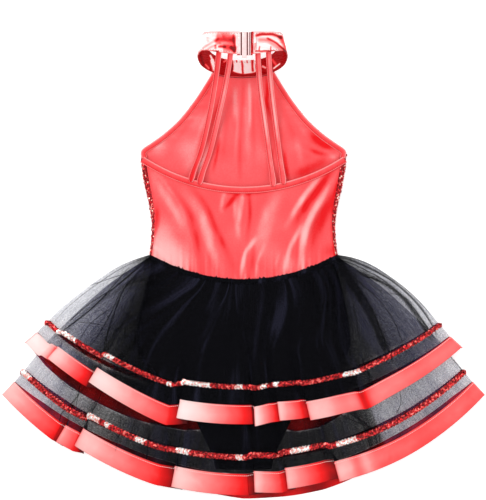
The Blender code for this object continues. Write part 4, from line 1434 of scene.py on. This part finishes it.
def foil_tone(turn, share, strokes):
    """The print's tone: 0 is dark red, 0.4 coral, 0.6 pink and 0.9 white."""
    x, y, _ = collar_point(turn, share)
    x += 0.8 * wander(x * 0.12, y * 0.12, 6.0)
    y += 0.8 * wander(x * 0.12, y * 0.12, 16.0)
    rim = exp(-(min(share, 1 - share) / 0.045) ** 2)
    tone = 0.87 - 0.28 * rim
    if abs(turn) < FOIL_TURN:
        low, high = FOIL_WHITE
        white = smooth((x - low) / 1.5) * smooth((high - x) / 1.5)
        white *= smooth((y - 227.5 - 0.012 * (x - 2) ** 2) / 2)
        tone = 0.14 + 0.85 * white
    return min(max(tone + fold_height(x, y, strokes, fade=0.15), 0.06), 1.0)


def collar():
    """The foil band, a little crinkled, from one side of the clasp round to the other."""
    back, front = laid_folds(FOIL_BACK), laid_folds(FOIL_FRONT)
    grid = []
    for level in range(COLLAR_LEVELS + 1):
        share = level / COLLAR_LEVELS
        row = []
        for k in range(COLLAR_STEPS + 1):
            turn = COLLAR_LEFT_END + (COLLAR_RIGHT_END - COLLAR_LEFT_END) * k / COLLAR_STEPS
            point = collar_point(turn, share)
            out = Vector((point.x, point.y - COLLAR_MIDDLE_Y, 0)).normalized()
            crinkle = 0.6 * wander(turn * 0.09, share * 2.0, 4.0) * sin(pi * share)
            row.append((point + out * crinkle + Vector((0, 0, crinkle * 0.5)),
                        foil_tone(turn, share, front if abs(turn) < FOIL_TURN else back)))
        grid.append(row)
    mesh = painted_mesh("collar_foil_band", grid, "tone")
    piece = add_piece("collar_foil_band", mesh, "foil_print", ["collar_band"],
                      COLLAR_WALL)


def collar_line(share, low, high, steps, proud):
    """A line on the band's face that looks up, between two angles."""
    line = []
    for k in range(steps + 1):
        turn = low + (high - low) * k / steps
        point = collar_point(turn, share)
        across = collar_point(turn, 1.0) - collar_point(turn, 0.0)
        ahead = collar_point(min(turn + 1, 179), share) - point
        out = ahead.cross(across).normalized()
        line.append(point + out * (proud if out.z > 0 else -proud))
    return line


def collar_stitches():
    """Stitches along the band's rims and its ends, and the seam inside the neck."""
    proud = COLLAR_WALL / 2 + 0.1
    ends = []
    for turn in END_STITCHES:
        ends.append([collar_point(turn, share / 12) + Vector((0, 0, proud))
                     for share in range(1, 12)])
    stitches("collar_end_stitches", ends, "thread_red", pitch=1.9)
    rims = [collar_line(share, COLLAR_LEFT_END, COLLAR_RIGHT_END, 240, proud)
            for share in RIM_STITCHES]
    stitches("collar_stitches", rims, "thread_red", pitch=3.4)
    line = collar_line(0.0, -NECK_SEAM_TURN, NECK_SEAM_TURN, 60, 0.6)
    seam = [point + Vector((0, -1.6, 1.6)) for point in line]
    stitches("neck_seam", [seam], "thread_dark", pitch=1.5, size=1.8)


def clasp_loop():
    """The band's ends, folded round the clasp's bars, painted darkest under the bars as shade."""
    low, high = CLASP_Y
    rows, tones = [], []
    for k in range(LOOP_STEPS + 1):
        x = CLASP_LOOP[0] + (CLASP_LOOP[1] - CLASP_LOOP[0]) * k / LOOP_STEPS
        drop = 0.8 * (abs(x - 2.0) / 9.0) ** 2
        rows.append([Vector((x, low + 0.6 + (high - low - 1.2) * m / LOOP_LEVELS,
                             CLASP_LEVEL - 1.1 - drop)) for m in range(LOOP_LEVELS + 1)])
        # Under the bars the loop is painted near black-red: painted shade in the gaps between
        # them.
        tones.append([0.02 if -4.6 < x < 9.2 else 0.22] * (LOOP_LEVELS + 1))
    mesh = grid_mesh("clasp_loops", rows, paint={"tone": tones})
    add_piece("clasp_loops", mesh, "foil_print", wall=LOOP_WALL)


def clasp():
    """The clasp's two moulded parts, each of two rounded bars, and the cloth round them."""
    clasp_loop()
    low, high = CLASP_Y
    for name, bars in CLASP_BARS.items():
        shape = bmesh.new()
        for left, right, reach in bars:
            made = bmesh.ops.create_cube(shape, size=1.0)["verts"]
            size = Vector((right - left, high - low + reach, CLASP_THICKNESS))
            middle = Vector(((left + right) / 2, (low + high - reach) / 2, CLASP_LEVEL))
            bmesh.ops.transform(shape, matrix=Matrix.Diagonal((*size, 1)), verts=made)
            bmesh.ops.translate(shape, vec=middle, verts=made)
            edges = list({edge for vert in made for edge in vert.link_edges})
            bmesh.ops.bevel(shape, geom=edges, offset=min(0.9, (right - left) * 0.42), segments=4,
                            profile=0.5, affect="EDGES")
        for vert in shape.verts:
            vert.co = laid(vert.co)
        mesh = bpy.data.meshes.new(name + "_bars")
        shape.to_mesh(mesh)
        shape.free()
        mesh.shade_smooth()
        add_piece(name + "_bars", mesh, "clasp_gloss", [name])


# Briefs

def briefs():
    """Front and back of the briefs, which lie between the lower tier's two sides."""
    for name, (lift, narrower, rim) in BRIEFS_SIDES.items():
        rows = []
        for number, (side_y, mid_y, half) in enumerate(refined(BRIEFS_ROWS, 6)):
            reach = half - narrower
            row = []
            for k in range(BRIEFS_COLUMNS + 1):
                across = 1 - 2 * k / BRIEFS_COLUMNS
                x = reach * across
                y = mid_y + (side_y - mid_y) * across ** 2
                if number == 0:
                    y = arc_height(side_y, mid_y, half, x)
                z = table_value(BRIEFS_LEVEL, share_at(LOWER_FAN, x, y)) + lift + CLOTH / 2
                z += rim * exp(-((1 - abs(across)) * reach / 5.0) ** 2)
                row.append(Vector((x, y, z)))
            rows.append(row)
        piece = add_piece(name + "_knit", grid_mesh(name + "_knit", rows), "briefs_knit",
                          [name], CLOTH)


# Skirt

def pleat_columns(pleats, tail, half, tip_drop):
    """Columns of a pleated half from left to right.

    Each is its hem place, its shift where the pleat is a slope, its shift where the pleat is
    tucked, its height in both cases as a share, the pleat's height, the hem's drop, the
    satin's tone and how dark the net's fold line is."""
    # Each column's tone is painted highlight and shade on the red satin, paler where a pleat comes
    # back on top and darkest where it is tucked under.
    first, last = pleats[0], pleats[-1]
    start_tone = first.tone_end * 0.4
    columns = [(-half, 0, 0, 0.0, 0.0, 0.0, tip_drop, start_tone, 0),
               (-half * 0.985, 0, 0, 0.2, 0.2, first.tall, tip_drop, start_tone, 0),
               ((first.edge - half) / 2, 0, 0, 0.55, 0.55, first.tall, first.before / 2,
                first.tone_end * 0.7, 0)]
    for number, pleat in enumerate(pleats):
        edge, tuck, tall, sink = pleat.edge, pleat.tuck, pleat.tall, pleat.sink
        before, after, end = pleat.before, pleat.after, pleat.tone_end
        middle = (before + after) / 2
        columns += [
            # the cloth sinks towards the edge
            (edge - sink, -0.3 * tuck, 0, 0.6, 0.6, tall, before, end, 0.0),
            (edge - sink * 0.5, -0.6 * tuck, 0, 0.2, 0.12, tall, before, end + 0.15, 0.08),
            # it runs on under the edge where it is tucked, and lies before it as a slope
            (edge, -1.0 * tuck, tuck, 0.02, 0.0, tall, middle, 1.0, 0.30),
            (edge, -0.7 * tuck, tuck, 0.33, 0.44, tall, middle, 1.0, 0.16),
            # it comes back on top at the edge
            (edge, -0.35 * tuck, 0, 0.67, 0.54, tall, after, 0.95, 0.05),
            (edge, 0, 0, 1.0, 1.0, tall, after, pleat.tone_start, 0.0),
        ]
        if number + 1 < len(pleats):
            following = pleats[number + 1]
            gap = following.edge - following.sink - edge
            columns.append((edge + gap * 0.4, 0, 0, 0.9, 0.9, tall,
                            after + (following.before - after) * 0.4,
                            pleat.tone_start + (following.tone_end - pleat.tone_start) * 0.3,
                            0.0))
    for share, height, drop, tone in tail:
        columns.append((last.edge + (half - last.edge) * share, 0, 0, height, height, last.tall,
                        drop, tone, 0.0))
    return columns


Spot = namedtuple("Spot", "point tone line across back")


class TierSection:
    """One section of a flattened tier at a share of its length, filled spot by spot."""

    def __init__(self, tier, share):
        self.tier, self.share, self.spots = tier, share, []
        side_y, self.mid_y, half = fan_values(tier.fan, share)
        self.radius = arc_radius(side_y, self.mid_y, half)
        self.widest = asin(min(half / self.radius, 1.0))
        self.low, self.high = (table_value(level, share) + CLOTH / 2
                               for level in (tier.low, tier.high))
        self.hang = smooth((share - DROP_FROM) / (1 - DROP_FROM))
        self.front_hang = smooth((share - tier.front_from) / (1 - tier.front_from))
        self.shoulder = tier.shoulder * sin(pi * min(share / 0.66, 1.0))

    def place(self, across, z, tone, line=0.0, out=0.0, drop=0.0, back=True):
        """Put a spot on the section's arc, let down by its share of the hem's drop."""
        turn = across * self.widest
        drop *= self.hang if back else self.front_hang
        lift = self.shoulder * smooth((across - 0.55) / 0.45) - drop
        point = Vector((self.radius * sin(turn) + out,
                        self.mid_y + self.radius * (1 - cos(turn)) + lift, z))
        self.spots.append(Spot(point, tone, line, across, back))

    def add_back(self, columns):
        """The back from left to right: even gathers at the waist, pleats at the hem."""
        share, low = self.share, self.low
        _, hem_side, hem_mid, hem_half = self.tier.fan[-1]
        hem_radius = arc_radius(hem_side, hem_mid, hem_half)
        hem_widest = asin(hem_half / hem_radius)
        tucked_by = [(0, 0), (self.tier.trim[1], 0), (self.tier.ribbon_from, 0.5), (1, 1)]
        opened = table_value(tucked_by, share)
        pleated = smooth(share / 0.55)
        grown = smooth(share / 0.85)
        gathers = GATHER_HEIGHT * (1 - pleated) * smooth(share / 0.08)
        last = len(columns) - 1
        for k, column in enumerate(columns):
            spot_at, slope, tucked, slope_level, tuck_level, tall, drop, tone, line = column
            even = -1 + 2 * k / last
            shifted = spot_at + slope + (tucked - slope) * opened
            hem_place = asin(min(max(shifted / hem_radius, -1.0), 1.0)) / hem_widest
            across = min(max(even + (hem_place - even) * pleated, -1.0), 1.0)
            sunk = 1 - SIDE_TAPER * abs(across) ** 12 * smooth(share / 0.15)
            rise = (slope_level + (tuck_level - slope_level) * opened) * tall * grown
            edge = 1 - across ** 8
            ripple = gathers * (0.5 + 0.5 * wander(k * 0.31, 2.0, share * 1.5)) * edge
            soft = 0.9 * grown * wander(across * 9.0, share * 2.2, 4.0) * edge * (1 - opened)
            fold = wander(k * 0.23, 6.0, share * 1.2)
            darker = line * smooth(share / 0.2) + 0.3 * (1 - pleated) * fold
            self.place(across, low + (self.high - low) * sunk + rise + ripple + soft, tone,
                       darker, drop=drop)

    def add_side(self, side, back_z, tone, bulge, drop=0.0):
        """Round one side, between the back's edge at its height and the front's."""
        for k in range(1, SIDE_STEPS):
            turn = pi * k / SIDE_STEPS
            z = (back_z + self.low) / 2 + side * (back_z - self.low) / 2 * cos(turn)
            self.place(side, z, tone, out=side * bulge * sin(turn), drop=drop)

    def add_front(self):
        """The front from right to left, in wide flat waves."""
        wave_height = FRONT_WAVE_HEIGHT * smooth(self.share / 0.5)
        for k in range(FRONT_STEPS + 1):
            across = 1 - 2 * k / FRONT_STEPS
            crest = 0.5 - 0.5 * cos(pi * self.tier.waves * (across + 1))
            wave = crest * (1 - across ** 10)
            # The front's satin is painted dark red as shade and a little paler on the wave crests
            # as painted highlight.
            self.place(across, self.low + wave_height * wave, 0.92 - 0.12 * crest,
                       drop=table_value(self.tier.front_drop, across), back=False)


def tier_section(tier, columns, share):
    """The spots of one section: the back, the right side, the front, the left side."""
    section = TierSection(tier, share)
    section.add_back(columns)
    left_z, right_z = section.spots[0].point.z, section.spots[-1].point.z
    bulge = SIDE_BULGE * (right_z - section.low)
    section.add_side(1.0, right_z, SIDE_TONES[1], bulge)
    section.add_front()
    section.add_side(-1.0, left_z, SIDE_TONES[0], bulge, tier.front_drop[0][1])
    return section.spots


def outward(spots, behind, below):
    """A section's spots moved out by one distance at its back and another at its front.

    Each is a (point, normal) pair."""
    moved = []
    count = len(spots)
    for k, spot in enumerate(spots):
        along = (spots[(k + 1) % count].point - spots[k - 1].point).normalized()
        level = Vector((along.x, along.y, 0))
        level = level.normalized() if level.length > 0.2 else Vector((0, 0, 0))
        if level.length:
            flat = (along.x ** 2 + along.y ** 2) ** 0.5
            up = Vector((-level.x * along.z, -level.y * along.z, flat)).normalized()
            up *= 1 if spot.back else -1
        else:
            up = Vector((1 if spot.point.x > 0 else -1, 0, 0))
        moved.append((spot.point + up * (behind if spot.back else below), up))
    return moved


def cover_over_trim(tier, spot, share):
    """The net's cover where it lies over the upper tier's front trims, or None elsewhere."""
    left, middle = TRIMS_SHOW
    shows = spot.across < left or (tier is LOWER and abs(spot.across) > middle)
    if share < 0.5 or not shows:
        return None
    x, y, _ = spot.point
    drop = table_value(UPPER_FRONT_DROP, spot.across)
    for first, last, cover, hang in FRONT_TRIMS:
        if first < share_at(UPPER_FAN, x, y + hang * drop) < last:
            return cover
    return None


def net_cover(tier, spot, share, over_trim):
    """What one layer hides at a spot: more towards the waist and along a fold.

    over_trim is the cover over a front trim, or None elsewhere."""
    open_part = 1 - table_value(tier.cover, spot.across)
    open_part *= 1 - table_value(tier.depth, share)
    open_part *= 1 - min(max(spot.line, -0.3), 0.9)
    if over_trim is not None:
        open_part = max(open_part, 1 - over_trim)
    return min(max(1 - open_part, 0.05), 0.985)


def net_tier(tier, columns):
    """A tier's net, from the waist to its ribbon."""
    rows, covers, shaded = [], [], []
    for step in range(NET_STEPS + 1):
        share = tier.ribbon_from * (step / NET_STEPS)
        spots = tier_section(tier, columns, share)
        trims = [cover_over_trim(tier, spot, share) for spot in spots]
        rows.append([spot.point for spot in spots])
        covers.append([net_cover(tier, spot, share, trim) for spot, trim in zip(spots, trims)])
        shaded.append([float(trim is not None) for trim in trims])
    mesh = grid_mesh(tier.name + "_net", rows, True, {"cover": covers, "over_trim": shaded})
    piece = add_piece(tier.name + "_net", mesh, "sheer_net", [tier.name + "_tier"])
    return piece


def surface_height(tree, x, y, otherwise):
    """How high a mesh stands at a place, seen from above."""
    start = Vector(laid((x, y, ABOVE_ALL)))
    hit = tree.ray_cast(start, Vector((0, 0, -1)))[0]
    return hit.z / MM if hit else otherwise


def net_creases(tier, net):
    """Folded net: soft-edged lines that lie on the tier where its layers double."""
    tree = BVHTree.FromPolygons([v.co for v in net.data.vertices],
                                [list(p.vertices) for p in net.data.polygons])
    bands = []
    for width, cover, line in tier.creases:
        marks = spaced(fine_path([(x, y, 0) for x, y in line], 8), CREASE_PITCH)
        last = len(marks) - 1
        band, height = [], 10.0
        for k, (point, along, _) in enumerate(marks):
            fade = smooth(min(k / last, 1 - k / last) / 0.12)
            row = []
            for across, part in ((-0.5, 0.0), (-0.22, 1.0), (0.1, 0.6), (0.5, 0.0)):
                x = point.x - along.y * across * width
                y = point.y + along.x * across * width
                height = surface_height(tree, x, y, height)
                row.append((Vector((x, y, height + CREASE_LIFT)),
                            min(CREASE_STRENGTH * cover, 0.93) * part * fade))
            band.append(row)
        bands.append(band)
    mesh = bands_mesh(tier.name + "_net_creases", bands)
    add_piece(tier.name + "_net_creases", mesh, "folded_net")


def waist_tufts():
    """The gathered net's edge, which peeps out over the waist seam in small tufts."""
    side_y, mid_y, half = UPPER_FAN[0][1:]
    band = []
    for k in range(TUFT_STEPS + 1):
        x = (half - 1.5) * (-1 + 2 * k / TUFT_STEPS)
        y = arc_height(side_y, mid_y, half, x)
        tuft = 0.4 + 3.6 * abs(wander(x * 0.21, 4.0, 0.0)) + 2.6 * max(wander(x * 0.7, 9.0, 0), 0)
        puff = 0.7 * wander(x * 0.2, 1.0, 3.0)
        band.append([(Vector((x, y + tuft, 7.6)), 0.85), (Vector((x, y - 0.5, 8.6 + puff)), 0.97),
                     (Vector((x, y - 4.0, 8.4 + puff)), 0.96), (Vector((x, y - 9.0, 8.0)), 0.3)])
    mesh = bands_mesh("waist_tufts", [band])
    add_piece("waist_tufts", mesh, "folded_net")


def ribbon_hem(tier, columns):
    """The satin ribbon round the hem, with painted shade a little deeper at both its edges."""
    first, last = tier.ribbon_from + RIBBON_GAP, 1.0
    rows, tones = [], []
    for step in range(RIBBON_STEPS + 1):
        spots = tier_section(tier, columns, first + (last - first) * step / RIBBON_STEPS)
        rows.append([point for point, _ in outward(spots, *RIBBON_OFF)])
        edge_shade = abs(step / RIBBON_STEPS - 0.5) * 2
        tones.append([spot.tone + 0.05 * edge_shade for spot in spots])
    mesh = grid_mesh(tier.name + "_satin_ribbon", rows, True, {"tone": tones})
    piece = add_piece(tier.name + "_satin_ribbon", mesh, "satin",
                      [tier.name + "_ribbon"], RIBBON_WALL)


def ribbon_stitches(tier, columns):
    """The pale stitches along the ribbon's upper edge."""
    spots = tier_section(tier, columns, tier.ribbon_from + RIBBON_STITCH_GAP)
    line = [point for point, _ in outward(spots, *RIBBON_STITCH_OFF)]
    stitches(tier.name + "_ribbon_stitches", [line + line[:1]], "thread_pale",
             pitch=2.5, size=1.8)


def strand_places(tier, columns):
    """Places of a trim's discs, which overlap like shingles: red ones, and white ones as painted
    glints.
    """
    spots = tier_section(tier, columns, sum(tier.trim) / 2)
    moved = outward(spots, *STRAND_OFF)
    line = [point for point, _ in moved]
    red, white = [], []
    for number, (point, along, k) in enumerate(spaced(line + line[:1], STRAND_PITCH)):
        up = moved[k][1]
        side = along.cross(up)
        lean = SHINGLE_LEAN if spots[k].back else 0.0
        place = (point + side * (0.5 if number % 2 else -0.5), up + along * lean)
        # Discs in the glint stretches of the back get the white finish: painted glints.
        bright = spots[k].back and any(low < point.x < high for low, high in tier.glints)
        (white if bright else red).append(place)
    return {"red": red, "white": white}


def strand_band(tier, columns):
    """The narrow band that a trim's discs are sewn to."""
    first, last = tier.trim
    rows = []
    for step in range(4):
        spots = tier_section(tier, columns, first + (last - first) * (0.25 + 0.5 * step / 3))
        rows.append([point for point, _ in outward(spots, *BAND_OFF)])
    mesh = grid_mesh(tier.name + "_sequin_band", rows, True,
                     {"crest": [[-0.8] * len(rows[0]) for _ in rows]})
    add_piece(tier.name + "_sequin_band", mesh, "sequin_ground",
              wall=BAND_WALL)


def sequin_line(tier, columns):
    """A tier's sequin trim: a strand of cupped discs on a narrow band."""
    settings = bpy.context.scene.tutu_dress
    tree = repeat_tree("sequin", "disc")
    for part, places in strand_places(tier, columns).items():
        name = f"{tier.name}_sequins_{part}"
        mesh = repeated_mesh(name, tree, places, {
            "Width": settings.sequin_width * tier.disc / 2, "Height": STRAND_THICKNESS,
            "Tilt": STRAND_TILT, "Seed": STRAND_SEED,
            "Finish": bpy.data.materials["sequin_trim_" + part]})
        add_piece(name, mesh, None,
                  [tier.name + "_sequin_trim"] if part == "red" else ())
    strand_band(tier, columns)


def make_tier(tier):
    """One tier: its net and creases, ribbon, sequin trim and stitches."""
    columns = pleat_columns(tier.pleats, tier.tail, tier.fan[-1][3], tier.front_drop[0][1])
    columns = refined(columns, COLUMN_STEPS)
    net_creases(tier, net_tier(tier, columns))
    ribbon_hem(tier, columns)
    sequin_line(tier, columns)
    ribbon_stitches(tier, columns)


# Stage

def add_camera(scene):
    """A camera straight above, at the photo's scale and framing."""
    eye = bpy.data.cameras.new("camera")
    eye.sensor_width = SENSOR_WIDTH
    eye.lens = SENSOR_WIDTH * (CAMERA_HEIGHT - FOCUS_HEIGHT) / (PHOTO_HEIGHT * PIXEL)
    eye.clip_start = 0.05
    camera = bpy.data.objects.new("camera", eye)
    centre_x = (PHOTO_CENTRE[0] - PHOTO_ORIGIN[0]) * PIXEL
    centre_y = (PHOTO_ORIGIN[1] - PHOTO_CENTRE[1]) * PIXEL + LAY_Y
    camera.location = Vector((centre_x, centre_y, CAMERA_HEIGHT)) * MM
    scene.collection.objects.link(camera)
    scene.camera = camera


def add_lights(scene):
    """Even white light all round and two soft lamps, the stronger one at the left."""
    world = bpy.data.worlds.new("room")
    world.use_nodes = True
    room = world.node_tree.nodes["Background"]
    room.inputs["Color"].default_value = (1, 1, 1, 1)
    room.inputs["Strength"].default_value = ROOM_LIGHT
    scene.world = world
    for name, (spot, size, power) in LAMPS.items():
        lamp = bpy.data.lights.new(name, "AREA")
        lamp.size = size
        lamp.energy = power
        light = bpy.data.objects.new(name, lamp)
        light.location = spot
        light.rotation_euler = (-Vector(spot)).to_track_quat("-Z", "Y").to_euler()
        scene.collection.objects.link(light)


def add_floor(scene):
    """A white floor just under the dress."""
    mesh = bpy.data.meshes.new("floor")
    corners = ((-1, -1), (1, -1), (1, 1), (-1, 1))
    mesh.from_pydata([(x * FLOOR_REACH, y * FLOOR_REACH, -FLOOR_DROP) for x, y in corners],
                     [], [(0, 1, 2, 3)])
    mesh.materials.append(pale_floor())
    floor = bpy.data.objects.new("floor", mesh)
    scene.collection.objects.link(floor)


def stage():
    """Camera, light and floor as in the photo."""
    scene = bpy.context.scene
    scene.view_settings.view_transform = "Standard"
    add_camera(scene)
    add_lights(scene)
    add_floor(scene)


# Add-on

class TutuDress(bpy.types.PropertyGroup):
    """Sizes and colours that a user would change."""
    sequin_width: bpy.props.FloatProperty(
        name="Sequin width", description="Diameter of one sequin", default=0.0042,
        subtype="DISTANCE", unit="LENGTH")
    stitch_length: bpy.props.FloatProperty(
        name="Stitch length", description="Length of one visible stitch", default=0.0016,
        subtype="DISTANCE", unit="LENGTH")
    thread_width: bpy.props.FloatProperty(
        name="Thread width", description="Thickness of the sewing thread", default=0.0004,
        subtype="DISTANCE", unit="LENGTH")
    bodice_colour: bpy.props.FloatVectorProperty(
        name="Bodice", description="Colour of the stretch cloth", size=4, subtype="COLOR",
        default=srgb(255, 84, 88))
    sequin_colour: bpy.props.FloatVectorProperty(
        name="Sequins", description="Colour of the sequins", size=4, subtype="COLOR",
        default=srgb(214, 16, 28))


class TUTU_OT_materials(bpy.types.Operator):
    """Make the dress's materials"""
    bl_idname = "tutu.materials"
    bl_label = "Materials"

    def execute(self, context):
        settings = context.scene.tutu_dress
        coral = tuple(settings.bodice_colour)
        red = tuple(settings.sequin_colour)
        # On the bodice and lining knits the first colour is painted shade and the last painted
        # highlight.
        knit("bodice_knit", srgb(238, 6, 18), coral, srgb(253, 186, 184))
        knit("lining_knit", srgb(240, 6, 18), srgb(255, 92, 96), srgb(255, 194, 194))
        knit("sequin_ground", srgb(130, 0, 10), srgb(172, 6, 18), srgb(214, 36, 42))
        satin()
        foil_print()
        # Each sequin finish's last colour is a painted glint; the trim's white discs are painted
        # glints too.
        sequin_gloss("sequin_red", srgb(130, 0, 8), red, srgb(255, 216, 200))
        sequin_gloss("sequin_trim_red", srgb(112, 0, 4), red, srgb(255, 128, 118))
        sequin_gloss("sequin_trim_white", srgb(255, 170, 160), srgb(255, 246, 242),
                     srgb(255, 255, 255))
        sheer_net("sheer_net", srgb(66, 66, 104))
        sheer_net("folded_net", srgb(6, 6, 12))
        briefs_knit()
        clasp_gloss()
        sewing_thread("thread_red", srgb(190, 10, 20), srgb(120, 0, 10))
        sewing_thread("thread_dark", srgb(70, 4, 12), srgb(40, 0, 6))
        sewing_thread("thread_pale", srgb(255, 236, 234), srgb(255, 190, 188))
        return {"FINISHED"}


class TUTU_OT_stage(bpy.types.Operator):
    """Set up the camera, light and floor"""
    bl_idname = "tutu.stage"
    bl_label = "Stage"

    def execute(self, context):
        stage()
        return {"FINISHED"}


class TUTU_OT_bodice(bpy.types.Operator):
    """Make the sequinned front, its lining and the back panel"""
    bl_idname = "tutu.bodice"
    bl_label = "Bodice"

    def execute(self, context):
        front_sequins(front_bodice())
        front_lining()
        back_bodice()
        return {"FINISHED"}


class TUTU_OT_trims(bpy.types.Operator):
    """Make the bindings and the four straps"""
    bl_idname = "tutu.trims"
    bl_label = "Bindings and straps"

    def execute(self, context):
        bindings()
        straps()
        return {"FINISHED"}


class TUTU_OT_collar(bpy.types.Operator):
    """Make the foil collar and its clasp"""
    bl_idname = "tutu.collar"
    bl_label = "Collar"

    def execute(self, context):
        collar()
        collar_stitches()
        clasp()
        return {"FINISHED"}


class TUTU_OT_briefs(bpy.types.Operator):
    """Make the built-in briefs"""
    bl_idname = "tutu.briefs"
    bl_label = "Briefs"

    def execute(self, context):
        briefs()
        return {"FINISHED"}


class TUTU_OT_skirt(bpy.types.Operator):
    """Make both net tiers with their ribbons and sequin lines"""
    bl_idname = "tutu.skirt"
    bl_label = "Skirt"

    def execute(self, context):
        for tier in (UPPER, LOWER):
            make_tier(tier)
        waist_tufts()
        return {"FINISHED"}


class TUTU_PT_panel(bpy.types.Panel):
    """Sizes, colours and steps of the dress"""
    bl_idname = "TUTU_PT_panel"
    bl_label = "Tutu dress"
    bl_space_type = "VIEW_3D"
    bl_region_type = "UI"
    bl_category = "Tutu"

    def draw(self, context):
        settings = context.scene.tutu_dress
        for name in ("sequin_width", "stitch_length", "thread_width", "bodice_colour",
                     "sequin_colour"):
            self.layout.prop(settings, name)
        for step in STEPS:
            self.layout.operator(step.bl_idname)


STEPS = (TUTU_OT_stage, TUTU_OT_materials, TUTU_OT_bodice, TUTU_OT_trims, TUTU_OT_collar,
         TUTU_OT_briefs, TUTU_OT_skirt)
CLASSES = (TutuDress,) + STEPS + (TUTU_PT_panel,)


def register():
    """Make the settings, operators and panel known to Blender."""
    for item in CLASSES:
        bpy.utils.register_class(item)
    bpy.types.Scene.tutu_dress = bpy.props.PointerProperty(type=TutuDress)


def unregister():
    """Take them out again."""
    del bpy.types.Scene.tutu_dress
    for item in reversed(CLASSES):
        bpy.utils.unregister_class(item)


def main():
    """Build the stage and every piece."""
    register()
    bpy.ops.tutu.stage()
    bpy.ops.tutu.materials()
    bpy.ops.tutu.bodice()
    bpy.ops.tutu.trims()
    bpy.ops.tutu.collar()
    bpy.ops.tutu.briefs()
    bpy.ops.tutu.skirt()
    bpy.context.view_layer.update()


if __name__ == "__main__":
    main()
